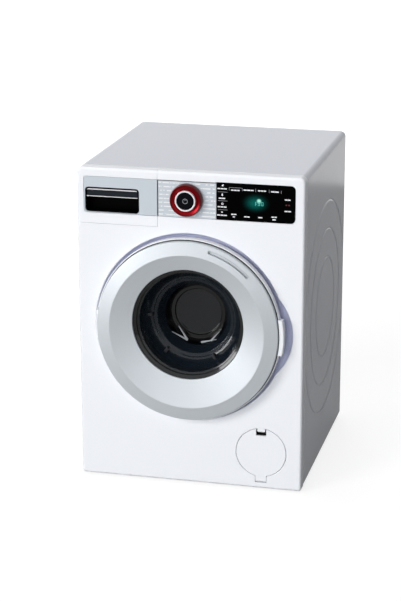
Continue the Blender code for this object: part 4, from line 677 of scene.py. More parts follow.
def filleted(corners: list[Corner], closed: bool = True) -> list[Point]:
    """Round the corners of an outline.

    Args:
        corners: Points with the radius of each one's rounding.
        closed: Whether the outline is a loop.

    Returns:
        The outline's points.
    """
    outline: list[Point] = []
    for index, (a, b, radius) in enumerate(corners):
        at_end = not closed and index in (0, len(corners) - 1)
        if radius <= 0 or at_end:
            outline.append((a, b))
            continue
        here = Vector((a, b))
        before = (Vector(corners[index - 1][:2]) - here).normalized()
        after = (Vector(corners[(index + 1) % len(corners)][:2]) - here).normalized()
        half = before.angle(after) / 2
        centre = here + (before + after).normalized() * (radius / math.sin(half))
        start = here + before * (radius / math.tan(half)) - centre
        end = here + after * (radius / math.tan(half)) - centre
        for step in range(FILLET_STEPS + 1):
            spoke = start.slerp(end, step / FILLET_STEPS).normalized() * radius
            outline.append(tuple(centre + spoke))
    return outline


def turned(
    name: str, body: Body, profile: list[Point], centre: Point, steps: int = FINE_STEPS
) -> bpy.types.Object:
    """Turn a profile about an axis that runs straight back.

    Args:
        name: The object's name.
        body: Where the front face lies.
        profile: Points of radius and depth. It is a closed loop unless both ends lie on the axis.
        centre: The axis, across and up.
        steps: Faces around.

    Returns:
        The turned object.
    """
    bm = bmesh.new()
    x, z = centre
    verts = [bm.verts.new(body.at(x + radius, depth, z)) for radius, depth in profile]
    edges = [bm.edges.new(pair) for pair in zip(verts, verts[1:])]
    if profile[0][0] > 0 or profile[-1][0] > 0:
        edges.append(bm.edges.new((verts[-1], verts[0])))
    bmesh.ops.spin(bm, geom=verts + edges, cent=body.at(x, 0, z), axis=(0, 1, 0),
                   angle=math.tau, steps=steps, use_merge=True, use_duplicate=False)
    bmesh.ops.remove_doubles(bm, verts=bm.verts, dist=WELD_DISTANCE)
    bmesh.ops.dissolve_degenerate(bm, edges=bm.edges, dist=WELD_DISTANCE)
    bmesh.ops.recalc_face_normals(bm, faces=bm.faces)
    return to_object(name, bm)


def block(
    name: str,
    body: Body,
    across: Span,
    depths: Span,
    heights: Span,
    edge: float = 0.0,
    segments: int = 2,
) -> bpy.types.Object:
    """A box with rounded edges.

    Args:
        name: The object's name.
        body: Where the front face lies.
        across: Its two places along X.
        depths: Its two depths.
        heights: Its two places along Z.
        edge: The radius of its edges.
        segments: Faces across each edge.

    Returns:
        The box.
    """
    low = body.at(across[0], depths[0], heights[0])
    high = body.at(across[1], depths[1], heights[1])
    bm = bmesh.new()
    size = Matrix.Diagonal((*(high - low), 1.0))
    bmesh.ops.create_cube(bm, size=1.0, matrix=Matrix.Translation((low + high) / 2) @ size)
    if edge > 0:
        bmesh.ops.bevel(bm, geom=bm.edges[:], offset=edge, segments=segments, profile=0.5,
                        affect="EDGES", material=-1)
    return to_object(name, bm)


def plate(
    name: str,
    body: Body,
    outline: list[Point],
    depths: Span,
    edge: float = 0.0,
    segments: int = 3,
) -> bpy.types.Object:
    """An outline run between two depths, with its front edge rounded.

    Args:
        name: The object's name.
        body: Where the front face lies.
        outline: Points across and up.
        depths: The front's depth and the back's.
        edge: The radius of the front edge.
        segments: Faces across that edge.

    Returns:
        The plate.
    """
    bm = bmesh.new()
    face = bm.faces.new([bm.verts.new(body.at(x, depths[0], z)) for x, z in outline])
    run = bmesh.ops.extrude_face_region(bm, geom=[face])
    moved = [item for item in run["geom"] if isinstance(item, bmesh.types.BMVert)]
    bmesh.ops.translate(bm, vec=(0, depths[1] - depths[0], 0), verts=moved)
    bmesh.ops.recalc_face_normals(bm, faces=bm.faces)
    if edge > 0:
        rim = [item for item in bm.edges if not any(vert in moved for vert in item.verts)]
        bmesh.ops.bevel(bm, geom=rim, offset=edge, segments=segments, profile=0.5,
                        affect="EDGES", material=-1, clamp_overlap=True)
    return to_object(name, bm)


def rectangle(
    across: Span, heights: Span, radii: tuple[float, float, float, float]
) -> list[Point]:
    """A rectangle with its own radius at each corner.

    Args:
        across: Its two places along X.
        heights: Its two places along Z.
        radii: The corners' radii, from the lower left round to the upper left.

    Returns:
        The outline's points.
    """
    (left, right), (low, high) = across, heights
    corners = zip((left, right, right, left), (low, low, high, high), radii)
    return filleted([(x, z, radius) for x, z, radius in corners])


def add_bar(
    bm: bmesh.types.BMesh, middle: Vector, run: Vector, radii: Span, segments: int
) -> None:
    """Add a round bar to a bmesh.

    Args:
        bm: The bmesh.
        middle: The bar's middle.
        run: The way from its first end to its second.
        radii: Its radii at those ends.
        segments: Faces around.
    """
    turn = run.to_track_quat("Z", "Y").to_matrix().to_4x4()
    bmesh.ops.create_cone(bm, cap_ends=True, segments=segments, radius1=radii[0], radius2=radii[1],
                          depth=run.length, matrix=Matrix.Translation(middle) @ turn)


def pin(
    name: str, start: Vector, end: Vector, radii: Span, segments: int = SMALL_STEPS
) -> bpy.types.Object:
    """A round bar between two points.

    Args:
        name: The object's name.
        start: One end.
        end: The other end.
        radii: Its radii at the two ends.
        segments: Faces around.

    Returns:
        The bar.
    """
    bm = bmesh.new()
    add_bar(bm, (start + end) / 2, end - start, radii, segments)
    return to_object(name, bm)


def drop(piece: bpy.types.Object) -> None:
    """Remove a helper object and its mesh.

    Args:
        piece: The object.
    """
    mesh = piece.data
    bpy.data.objects.remove(piece)
    bpy.data.meshes.remove(mesh)


def work(
    piece: bpy.types.Object, operation: Operation, *helpers: bpy.types.Object
) -> bpy.types.Object:
    """Cut, join or keep a piece with helper solids, which are used up.

    Args:
        piece: The object to change.
        operation: What the helpers do to it.
        helpers: The helper objects.

    Returns:
        The piece.
    """
    for helper in helpers:
        modifier = piece.modifiers.new(helper.name, "BOOLEAN")
        modifier.operation = operation.value
        modifier.solver = "EXACT"
        modifier.object = helper
    apply_modifiers(piece)
    for helper in helpers:
        drop(helper)
    return piece


def apply_modifiers(piece: bpy.types.Object) -> None:
    """Make a piece's mesh what its modifiers give.

    Args:
        piece: The object.
    """
    bpy.context.view_layer.update()
    evaluated = piece.evaluated_get(bpy.context.evaluated_depsgraph_get())
    mesh = bpy.data.meshes.new_from_object(evaluated)
    old = piece.data
    piece.modifiers.clear()
    piece.data = mesh
    bpy.data.meshes.remove(old)
    mesh.name = piece.name


def merged(name: str, pieces: list[bpy.types.Object]) -> bpy.types.Object:
    """Put several separate solids into one object.

    Args:
        name: The new object's name.
        pieces: The objects, which are used up.

    Returns:
        The object.
    """
    bm = bmesh.new()
    for piece in pieces:
        bm.from_mesh(piece.data)
        drop(piece)
    return to_object(name, bm)


class Workshop:
    """Dresses pieces and keeps each material for the pieces that share it."""

    def __init__(self, finishes: dict[str, Finish]) -> None:
        """Take the finishes, by the names of their materials."""
        self.finishes = finishes
        self.materials: dict[str, bpy.types.Material] = {}

    def material(self, name: str) -> bpy.types.Material:
        """A finish's material, made on its first use.

        Args:
            name: The finish's name.

        Returns:
            The material.
        """
        if name not in self.materials:
            self.materials[name] = self.finishes[name].make(name)
        return self.materials[name]

    def paint(self, shown: bpy.types.Object, finish: str) -> None:
        """Give an object one finish in place of those it has."""
        shown.data.materials.clear()
        shown.data.materials.append(self.material(finish))

    def piece(
        self,
        made: bpy.types.Object,
        rides: str,
        slot: Slot,
        nodes: tuple[str, ...] = (),
        finish: str | None = None,
    ) -> None:
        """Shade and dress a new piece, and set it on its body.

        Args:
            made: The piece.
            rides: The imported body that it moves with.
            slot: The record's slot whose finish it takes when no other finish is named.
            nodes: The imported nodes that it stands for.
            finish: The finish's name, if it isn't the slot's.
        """
        self.paint(made, finish or slot.value)
        made.data.shade_smooth()
        made.data.set_sharp_from_angle(angle=SHARP_ANGLE)
        weighted = made.modifiers.new("face_weights", "WEIGHTED_NORMAL")
        weighted.keep_sharp = True
        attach(made, rides)
        if nodes:
            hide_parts(*nodes)
        LOG.info("piece %s on %s, %d faces", made.name, rides, len(made.data.polygons))

    def carry_over(self, slot: Slot, *nodes: str) -> None:
        """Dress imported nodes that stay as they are.

        Args:
            slot: The record's slot that they take their finish from.
            nodes: The nodes.
        """
        for node in nodes:
            shown = bpy.data.objects[node]
            self.paint(shown, slot.value)
            LOG.info("node %s keeps its solid", node)


# Sub-assemblies


@dataclass
class Housing:
    """The cabinet with its pressed rings, the back, the base and the feet."""

    body: Body
    shop: Workshop
    wall: float = 0.0025
    top_radius: float = 0.0045
    side_radius: float = 0.0012
    ring_radii: tuple[float, ...] = (0.042, 0.066, 0.090)
    ring_height: float = 0.130
    ring_width: float = 0.0030
    ring_depth: float = 0.0008
    ring_margin: float = 0.004

    def build(self) -> None:
        """Build the cabinet and dress what stays."""
        body = self.body
        depths = (body.seam, body.depth(body.back))
        wide = (-body.half_width, body.half_width)
        lower = self.wall + self.side_radius
        radii = (lower, lower, self.top_radius, self.top_radius)
        outline = rectangle(wide, (body.bottom, body.top), radii)
        cabinet = plate("cabinet_shell", body, outline, depths)
        room = block("cabinet_room", body, grown(wide, -self.wall), grown(depths, OVERRUN),
                     (-OVERRUN, body.top - self.wall))
        work(cabinet, Operation.CUT, room)
        grooves = [self.groove(radius, side) for radius in self.ring_radii for side in SIDES]
        work(cabinet, Operation.CUT, *grooves)
        # The cabinet takes a darker, bluer copy of the white plastic: painted shade
        self.shop.piece(cabinet, "body", Slot.WHITE, ("cabinet",), "cabinet_white_shaded")
        corners = range(1, 5)
        self.shop.carry_over(Slot.WHITE, "back_cover", "base_pan", "battery_door")
        self.shop.carry_over(Slot.BLACK_RUBBER, *(f"foot_{number}" for number in corners))
        self.shop.carry_over(Slot.STEEL, *(f"back_screw_{number}" for number in corners))
        self.shop.carry_over(Slot.STEEL, "battery_door_screw")
        self.shop.carry_over(Slot.BLACK, "battery_tray")
        self.shop.carry_over(Slot.CELL, "battery_cell_1", "battery_cell_2")

    def groove(self, radius: float, side: int) -> bpy.types.Object:
        """A round groove's cutter in one side.

        Args:
            radius: The groove's radius.
            side: -1 for the left side and 1 for the right.

        Returns:
            The cutter, kept off the cabinet's front and back.
        """
        body = self.body
        name = f"groove_{round(radius * 1000)}_{'left' if side < 0 else 'right'}"
        middle = body.at(0, (body.seam + body.depth(body.back)) / 2, self.ring_height)
        spread = self.ring_width / 2 * (1 + OVERRUN / self.ring_depth)
        face = side * body.half_width
        floor = face - side * self.ring_depth
        mouth = face + side * OVERRUN
        bm = bmesh.new()
        corners = ((radius, floor), (radius + spread, mouth), (radius - spread, mouth))
        verts = [bm.verts.new((x, middle.y, middle.z + r)) for r, x in corners]
        edges = [bm.edges.new((verts[index - 1], vert)) for index, vert in enumerate(verts)]
        bmesh.ops.spin(bm, geom=verts + edges, cent=(0, middle.y, middle.z), axis=(1, 0, 0),
                       angle=math.tau, steps=FINE_STEPS, use_merge=True, use_duplicate=False)
        bmesh.ops.recalc_face_normals(bm, faces=bm.faces)
        cutter = to_object(name, bm)
        across = grown((-body.half_width, body.half_width), 2 * OVERRUN)
        depths = (body.seam + self.ring_margin, body.depth(body.back) - self.ring_margin)
        bounds = block(name + "_bounds", body, across, depths, (body.bottom, body.top))
        return work(cutter, Operation.KEEP, bounds)


@dataclass
class Front:
    """The front moulding with the dish round the door and its openings."""

    body: Body
    shop: Workshop
    wall: float = 0.003
    side_wall: float = Housing.wall
    top_radius: float = Housing.top_radius
    bottom_radius: float = 0.0025
    face_radius: float = 0.0022
    shut_line: float = 0.0002
    return_wall: float = 0.002
    lip: float = 0.0012
    dish_radius: float = 0.078
    dish_floor: float = 0.070
    scoop_centre: Point = (0.0386, 0.133)
    scoop_radius: float = 0.0454
    dish_depth: float = 0.007
    dish_wall: float = 0.0025
    boss_foot: float = 0.005
    gasket_seat: float = 0.0498
    pocket_depth: float = 0.0013
    pocket_gap: float = 0.0003
    sleeve_hole: float = 0.0064
    hook_slot: tuple[Span, Span] = ((0.0701, 0.0756), (0.1285, 0.1393))
    flap_gap: float = 0.00035
    tongue_across: Span = (0.0560, 0.0624)
    tongue_drop: float = 0.0026
    tongue_corner: float = 0.0008
    tongue_depths: Span = (0.0002, 0.0022)
    lug_height: float = 0.004
    lug_gap: float = 0.0079
    lug_radius: float = 0.0022
    hinge: Point = (-0.0745, 0.0046)
    lens_corner: float = 0.0037
    pin_overhang: float = 0.0032

    def build(self) -> None:
        """Build the front moulding."""
        body = self.body
        door = centre_of("door_ring")
        drum = centre_of("drum_shell")
        panel = self.slab("front_moulding")
        (_, drawer_right), _, (drawer_low, _) = spans_of("drawer_front", body)
        right = drawer_right + self.shut_line
        low = drawer_low - self.shut_line
        inner = (self.side_wall - body.half_width, body.half_width - self.side_wall)
        ceiling = body.top - self.side_wall
        depth = body.seam - self.pocket_gap
        room = block("panel_room", body, inner, (self.wall, depth + OVERRUN),
                     (body.bottom + self.side_wall, ceiling))
        work(panel, Operation.CUT, room)
        dish = (door, self.dish_radius, self.dish_floor)
        scoop_floor = self.scoop_radius - self.dish_radius + self.dish_floor
        scoop = (self.scoop_centre, self.scoop_radius, scoop_floor)
        behind = (self.wall / 2, depth)
        work(panel, Operation.JOIN,
             block("return_side", body, (right - OVERRUN, right + self.return_wall), behind,
                   (low - self.return_wall, ceiling + OVERRUN / 2)),
             block("return_low", body, (inner[0] - OVERRUN / 2, right), behind,
                   (low - self.return_wall, low + OVERRUN)),
             self.boss("dish_boss", *dish))
        work(panel, Operation.JOIN, self.boss("scoop_boss", *scoop))
        hollow = self.hollow("dish_hollow", *dish)
        work(hollow, Operation.JOIN, self.hollow("scoop_hollow", *scoop))
        reach = (-OVERRUN, self.wall + OVERRUN)
        floor_reach = grown((self.dish_depth, self.dish_depth + self.dish_wall), OVERRUN)
        work(panel, Operation.CUT, hollow)
        work(panel, Operation.CUT,
             block("drawer_corner", body, (-body.half_width - OVERRUN, right),
                   (-OVERRUN, body.seam + OVERRUN), (low, body.top + OVERRUN)),
             turned("gasket_seat", body, tube((0, self.gasket_seat), floor_reach), drum),
             block("hook_slot", body, self.hook_slot[0], floor_reach, self.hook_slot[1]))
        work(panel, Operation.CUT, *self.control_cutters(reach), *self.flap_cutters(reach))
        work(panel, Operation.JOIN, self.latch_tongue())
        self.add_lugs(panel, door[1])
        # The front's material paints shade into the dish round the door
        self.shop.piece(panel, "body", Slot.WHITE, ("front_panel",), "front_white_shaded")

    def slab(self, name: str) -> bpy.types.Object:
        """The front's outline with rounded edges, before anything is cut from it.

        Args:
            name: The object's name.

        Returns:
            The slab.
        """
        body = self.body
        radii = (self.bottom_radius, self.bottom_radius, self.top_radius, self.top_radius)
        outline = rectangle((-body.half_width, body.half_width), (body.bottom, body.top), radii)
        depths = (0, body.seam - self.pocket_gap)
        return plate(name, body, outline, depths, self.face_radius, FILLET_STEPS)

    def boss(self, name: str, centre: Point, radius: float, floor: float) -> bpy.types.Object:
        """The material behind a dish.

        Args:
            name: The object's name.
            centre: The dish's axis.
            radius: The dish's radius at the front face.
            floor: Its radius at its floor.

        Returns:
            The boss.
        """
        start = self.wall / 2
        back = self.dish_depth + self.dish_wall
        rim = radius + self.dish_wall
        profile = [(0, start), (rim, start), (floor + self.boss_foot, back), (0, back)]
        return turned(name, self.body, profile, centre)

    def hollow(self, name: str, centre: Point, radius: float, floor: float) -> bpy.types.Object:
        """A dish's hollow with a rounded lip and a wall curved like a quarter of an ellipse.

        Args:
            name: The object's name.
            centre: The dish's axis.
            radius: Its radius inside the lip.
            floor: Its radius at its floor.

        Returns:
            The hollow.
        """
        steps = 2 * FILLET_STEPS
        turns = [math.pi / 2 * step / steps for step in range(steps + 1)]
        fall = self.dish_depth - self.lip
        profile = [(0, -OVERRUN), (radius + self.lip, -OVERRUN)]
        for turn in turns:
            across = radius + self.lip * (1 - math.sin(turn))
            profile.append((across, self.lip * (1 - math.cos(turn))))
        for turn in turns[1:]:
            across = floor + (radius - floor) * math.cos(turn)
            profile.append((across, self.lip + fall * math.sin(turn)))
        profile.append((0, self.dish_depth))
        return turned(name, self.body, profile, centre)

    def control_cutters(self, reach: Span) -> list[bpy.types.Object]:
        """Cutters for the strip, the lens, the display and the selector.

        Args:
            reach: The depths between which a cutter goes through the wall.

        Returns:
            The cutters.
        """
        body = self.body
        gap = self.pocket_gap
        strip_across, _, strip_heights = spans_of("fascia_strip", body)
        lens_across, _, lens_heights = spans_of("display_lens", body)
        module_across, _, module_heights = spans_of("display_module", body)
        pocket = (-OVERRUN, self.pocket_depth)
        lens_radii = (0, self.lens_corner, self.lens_corner, 0)
        lens_outline = rectangle((lens_across[0] - OVERRUN / 2, lens_across[1] + gap),
                                 grown(lens_heights, gap), lens_radii)
        hole = tube((0, self.sleeve_hole), reach)
        return [
            block("strip_pocket", body, grown(strip_across, OVERRUN / 2), pocket,
                  grown(strip_heights, gap)),
            plate("lens_pocket", body, lens_outline, pocket),
            block("display_hole", body, grown(module_across, gap), reach,
                  grown(module_heights, gap)),
            turned("selector_hole", body, hole, centre_of("knob_ring"), SMALL_STEPS),
        ]

    def flap_cutters(self, reach: Span) -> list[bpy.types.Object]:
        """Cutters for the service flap and its hinge tab.

        Args:
            reach: The depths between which a cutter goes through the wall.

        Returns:
            The cutters.
        """
        body = self.body
        (left, right), _, (low, high) = spans_of("drain_flap", body)
        radius = (right - left) / 2
        centre = ((left + right) / 2, high - radius)
        gap = self.flap_gap
        room = radius + gap
        profile = [(0, reach[0]), (room + gap, reach[0]), (room + gap, 0), (room, gap),
                   (room, reach[1]), (0, reach[1])]
        tab = grown(spans_of("flap_pin", body)[0], gap - self.pin_overhang)
        return [
            turned("flap_hole", body, profile, centre),
            block("flap_tab_hole", body, tab, reach, (low - gap, centre[1] - radius / 2)),
        ]

    def latch_tongue(self) -> bpy.types.Object:
        """The tongue that holds the flap shut, which hangs into the notch at the flap's top.

        Returns:
            The tongue.
        """
        top = spans_of("drain_flap", self.body)[2][1]
        heights = (top - self.tongue_drop, top + OVERRUN)
        outline = rectangle(self.tongue_across, heights, (self.tongue_corner,) * 4)
        return plate("latch_tongue", self.body, outline, self.tongue_depths, self.lip / 4, 2)

    def add_lugs(self, panel: bpy.types.Object, height: float) -> None:
        """Join the two ears of the door hinge to the dish's floor.

        Args:
            panel: The front moulding.
            height: The height of the hinge's middle.
        """
        body = self.body
        x, proud = self.hinge
        for side in SIDES:
            start = body.at(x, -proud, height + side * self.lug_gap)
            end = start + Vector((0, 0, side * self.lug_height))
            heights = tuple(sorted((start.z, end.z)))
            arm = block(f"lug_arm_{side}", body, grown((x, x), self.lug_radius),
                        (-proud, self.dish_depth + self.dish_wall / 2), heights)
            work(panel, Operation.JOIN, pin(f"lug_{side}", start, end, (self.lug_radius,) * 2))
            work(panel, Operation.JOIN, arm)


@dataclass
class Controls:
    """The control strip, the display lens, the selector ring and its button."""

    body: Body
    shop: Workshop
    plate_edge: float = 0.0002
    outline_width: float = 0.0005
    outline_reach: float = 0.0002
    lens_corner: float = 0.0035
    lens_edge: float = 0.0003
    hole_radius: float = 0.0064
    ink_thickness: float = 0.00004
    ring_edge: float = 0.0005
    trim_width: float = 0.0012
    trim_reach: float = 0.0002
    cap_edge: float = 0.0004
    cap_skirt: float = 0.0010
    cap_skirt_edge: float = 0.0001
    stem_radius: float = 0.0043
    stem_edge: float = 0.0002
    mark_radius: float = 0.0021
    mark_width: float = 0.0004
    # The selector's sleeve, then its disc's corners as radius, depth and rounding
    sleeve_radii: Span = (0.0047, 0.0060)
    disc_corners: tuple[Corner, ...] = (
        (0.0060, -0.0003, 0), (0.0132, -0.0003, 0.0002), (0.0132, -0.0026, 0.0010),
    )
    crest_radii: Span = (0.0126, 0.0120)
    well_corners: tuple[Corner, ...] = (
        (0.0094, -0.0042, 0.0012), (0.0084, -0.0042, 0.0001),
        (0.0084, -0.0032, 0), (0.0047, -0.0032, 0),
    )
    trim_edge: float = 0.0003

    def build(self) -> None:
        """Build the visible controls and dress what lies behind them."""
        self.strip()
        self.lens()
        self.selector()
        self.shop.carry_over(Slot.BOARD, "control_board")
        self.shop.carry_over(Slot.BLACK, "display_module", "selector_encoder", "tact_switch",
                             "speaker")

    def strip(self) -> None:
        """The silver strip behind the selector."""
        body = self.body
        across, depths, heights = spans_of("fascia_strip", body)
        outline = rectangle(across, heights, (0, 0, 0, 0))
        face = plate("strip_face", body, outline, depths, self.plate_edge, 2)
        hole = tube((0, self.hole_radius), grown(depths, OVERRUN))
        work(face, Operation.CUT,
             turned("strip_hole", body, hole, centre_of("knob_ring"), SMALL_STEPS))
        self.shop.piece(face, "body", Slot.SILVER, ("fascia_strip",), "printed_strip")
        line = self.outline_width
        outline_depths = (depths[0] - self.ink_thickness, depths[1])
        top = heights[1] + self.outline_reach
        upper = block("outline_top", body, across, outline_depths, (top - line, top))
        side = block("outline_side", body, (across[0], across[0] + line), outline_depths,
                     (heights[0], top))
        self.shop.piece(merged("strip_outline", [upper, side]), "body", Slot.BLACK)

    def lens(self) -> None:
        """The black lens with its printed marks and lit digits."""
        body = self.body
        across, depths, heights = spans_of("display_lens", body)
        outline = rectangle(across, heights, (0, self.lens_corner, self.lens_corner, 0))
        face = plate("lens_glass", body, outline, depths, self.lens_edge)
        self.shop.piece(face, "body", Slot.BLACK_GLOSS, ("display_lens",), "lit_lens")
        marks = LensMarks(body, across, heights, depths[0] - self.ink_thickness, self.ink_thickness)
        for name, finish, bars in marks.groups():
            self.shop.piece(merged(name, bars), "body", Slot.BLACK_GLOSS, (), finish)

    def selector(self) -> None:
        """The red ring, its bright trim and the button in its middle."""
        body = self.body
        centre = centre_of("knob_ring")
        _, (near, far), _ = spans_of("knob_ring", body)
        sleeve = [(radius, far, 0) for radius in self.sleeve_radii]
        crest = [(radius, near, self.ring_edge) for radius in self.crest_radii]
        ring = [*sleeve, *self.disc_corners, *crest, *self.well_corners]
        self.shop.piece(turned("selector_ring", body, filleted(ring), centre, ROUND_STEPS),
                        "selector", Slot.RED, ("knob_ring",))
        (left, right), (near, far), _ = spans_of("knob_trim", body)
        outer = (right - left) / 2 + self.trim_reach
        inner = outer - self.trim_width
        trim = [(inner, far, 0), (outer, far, 0), (outer, near, self.trim_edge),
                (inner, near, self.trim_edge)]
        self.shop.piece(turned("selector_trim", body, filleted(trim), centre, ROUND_STEPS),
                        "selector", Slot.CHROME, ("knob_trim",))
        (left, right), (near, far), _ = spans_of("power_button", body)
        radius = (right - left) / 2
        skirt = near + self.cap_skirt
        cap = [(0, near, 0), (radius, near, self.cap_edge), (radius, skirt, self.cap_skirt_edge),
               (self.stem_radius, skirt, 0), (self.stem_radius, far, self.stem_edge), (0, far, 0)]
        profile = filleted(cap, closed=False)
        self.shop.piece(turned("button_cap", body, profile, centre, ROUND_STEPS), "button",
                        Slot.BLACK_GLOSS, ("power_button",), "button_black")
        self.button_mark(centre, near)

    def button_mark(self, centre: Point, face: float) -> None:
        """The plain power mark on the button: an open ring and a bar.

        Args:
            centre: The button's axis.
            face: The depth of its face.
        """
        body = self.body
        depths = grown((face, face), self.ink_thickness)
        outer = self.mark_radius
        inner = outer - self.mark_width
        ring = turned("mark_ring", body, tube((inner, outer), depths), centre, SMALL_STEPS)
        half = self.mark_width / 2
        x, z = centre
        across = grown((x, x), half)
        gap = block("mark_gap", body, grown(across, half), grown(depths, OVERRUN),
                    (z + inner / 2, z + 2 * outer))
        work(ring, Operation.CUT, gap)
        bar = block("mark_bar", body, across, depths, (z + inner / 4, z + outer + half))
        self.shop.piece(merged("button_mark", [ring, bar]), "button", Slot.BLACK_GLOSS, (),
                        "grey_ink")


@dataclass
class LensMarks:
    """The generic marks on the lens: label bars, dividers, and lit digits."""

    body: Body
    across: Span
    heights: Span
    front: float
    thickness: float
    label_height: float = 0.0009
    line_width: float = 0.0003
    icon_size: float = 0.0009
    digit_height: float = 0.0030
    digit_width: float = 0.0018
    segment: float = 0.0004
    digits_place: Point = (0.0296, 0.0168)
    colon_shares: Span = (0.3, 0.7)
    word_width: float = 0.0026
    # From the lens's upper left: how far right and down each mark starts, and its width
    labels: tuple[Corner, ...] = (
        (0.0007, 0.0047, 0.0079), (0.0018, 0.0124, 0.0054), (0.0009, 0.0193, 0.0074),
        (0.0005, 0.0260, 0.0082), (0.0116, 0.0054, 0.0073), (0.0216, 0.0048, 0.0084),
        (0.0331, 0.0048, 0.0067), (0.0434, 0.0050, 0.0064), (0.0544, 0.0109, 0.0049),
        (0.0543, 0.0200, 0.0054), (0.0118, 0.0248, 0.0045), (0.0131, 0.0268, 0.0019),
        (0.0222, 0.0262, 0.0047), (0.0335, 0.0262, 0.0035), (0.0440, 0.0252, 0.0045),
        (0.0448, 0.0273, 0.0029),
    )
    lines: tuple[Corner, ...] = (
        (0.0011, 0.0073, 0.0077), (0.0011, 0.0144, 0.0077), (0.0011, 0.0216, 0.0077),
        (0.0102, 0.0034, 0.0101),
    )
    dividers: tuple[Point, ...] = (
        (0.0100, 0.0046), (0.0205, 0.0046), (0.0311, 0.0046), (0.0418, 0.0048), (0.0514, 0.0050),
    )
    divider_height: float = 0.0026
    icons: tuple[Point, ...] = (
        (0.0048, 0.0022), (0.0046, 0.0098), (0.0047, 0.0168), (0.0046, 0.0236),
    )
    # Where each icon points, in sizes of an icon; the one without a point is a ring
    icon_tips: tuple[Point | None, ...] = ((1.2, 1.2), (0.0, 1.9), None, (-1.0, 0.6))
    icon_tail: float = 0.5
    icon_waist: float = 0.8
    icon_line: float = 1.4
    icon_steps: int = 16
    red_marks: tuple[Point, ...] = ((0.0550, 0.0151), (0.0572, 0.0151))
    red_size: Point = (0.0013, 0.0011)

    def bar(self, name: str, across: Span, heights: Span) -> bpy.types.Object:
        """One printed bar."""
        return block(name, self.body, across, (self.front, self.front + self.thickness), heights)

    def row(self, name: str, place: Point, size: Point) -> bpy.types.Object:
        """A printed bar, placed from the lens's upper left.

        Args:
            name: The bar's name.
            place: How far right its left end is, and how far down its middle.
            size: Its width and height.

        Returns:
            The bar.
        """
        left = self.across[0] + place[0]
        middle = self.heights[1] - place[1]
        return self.bar(name, (left, left + size[0]), grown((middle, middle), size[1] / 2))

    def label(self, x: float, z: float, width: float) -> list[bpy.types.Object]:
        """A label, as bars in place of its words.

        Args:
            x: How far right of the lens's left end it starts.
            z: How far below the lens's top its middle is.
            width: Its width.

        Returns:
            The bars.
        """
        words = max(1, round(width / self.word_width))
        pitch = width / words
        size = (pitch - self.line_width, self.label_height)
        return [self.row("label", (x + pitch * word, z), size) for word in range(words)]

    def icon(self, place: Point, tip: Point | None) -> bpy.types.Object:
        """A small generic icon: a kite that points one way, or a ring.

        Args:
            place: How far right and down its middle is from the lens's upper left.
            tip: Where it points, in sizes of an icon, if it does.

        Returns:
            The icon.
        """
        middle = Vector((self.across[0] + place[0], self.heights[1] - place[1]))
        size = self.icon_size
        depths = (self.front, self.front + self.thickness)
        if tip is None:
            rim = tube((size - self.icon_line * self.line_width, size), depths)
            return turned("icon_ring", self.body, rim, tuple(middle), self.icon_steps)
        point = Vector(tip)
        waist = point.orthogonal().normalized() * self.icon_waist
        corners = (point, waist, -point * self.icon_tail, -waist)
        outline = [tuple(middle + size * corner) for corner in corners]
        return plate("icon", self.body, outline, depths)

    def groups(self) -> list[tuple[str, str, list[bpy.types.Object]]]:
        """The marks in groups.

        Returns:
            Each group's name, its finish and its pieces.
        """
        labels = [bar for spot in self.labels for bar in self.label(*spot)]
        icons = [self.icon(place, tip) for place, tip in zip(self.icons, self.icon_tips)]
        lines = [self.row("line", (x, z), (width, self.line_width)) for x, z, width in self.lines]
        tall = (self.line_width, self.divider_height)
        dividers = [self.row("divider", place, tall) for place in self.dividers]
        red = [self.row("red_mark", place, self.red_size) for place in self.red_marks]
        return [
            ("lens_labels", "white_ink", labels + icons),
            ("lens_lines", "grey_ink", lines + dividers),
            ("lens_red_marks", "red_ink", red),
            ("display_digits", "lit_digits", self.digits()),
        ]

    def digits(self) -> list[bpy.types.Object]:
        """A plain time of three lit digits, made of bars.

        Returns:
            The bars.
        """
        lit = {"0": "abcdef", "1": "bc", "3": "abgcd"}
        start = self.across[0] + self.digits_place[0]
        low = self.heights[1] - self.digits_place[1]
        pitch = self.digit_width + 2 * self.segment
        bars: list[bpy.types.Object] = []
        for index, digit in enumerate("130"):
            colon_room = 2 * self.segment if index else 0
            left = start + index * pitch + colon_room
            bars += [self.segment_bar(name, left, low) for name in lit[digit]]
        x = start + self.digit_width + self.segment
        for share in self.colon_shares:
            z = low + self.digit_height * share
            bars.append(self.bar("colon", (x, x + self.segment), (z, z + self.segment)))
        return bars

    def segment_bar(self, name: str, left: float, low: float) -> bpy.types.Object:
        """One segment of a digit.

        Args:
            name: The segment's letter, a to g in the usual order.
            left: The digit's left end.
            low: The digit's lower end.

        Returns:
            The segment's bar.
        """
        thick = self.segment
        right = left + self.digit_width
        high = low + self.digit_height
        middle = (low + high) / 2
        places = {
            "a": ((left, right), (high - thick, high)),
            "b": ((right - thick, right), (middle, high)),
            "c": ((right - thick, right), (low, middle)),
            "d": ((left, right), (low, low + thick)),
            "e": ((left, left + thick), (low, middle)),
            "f": ((left, left + thick), (middle, high)),
            "g": ((left, right), (middle - thick / 2, middle + thick / 2)),
        }
        return self.bar(f"segment_{name}", *places[name])


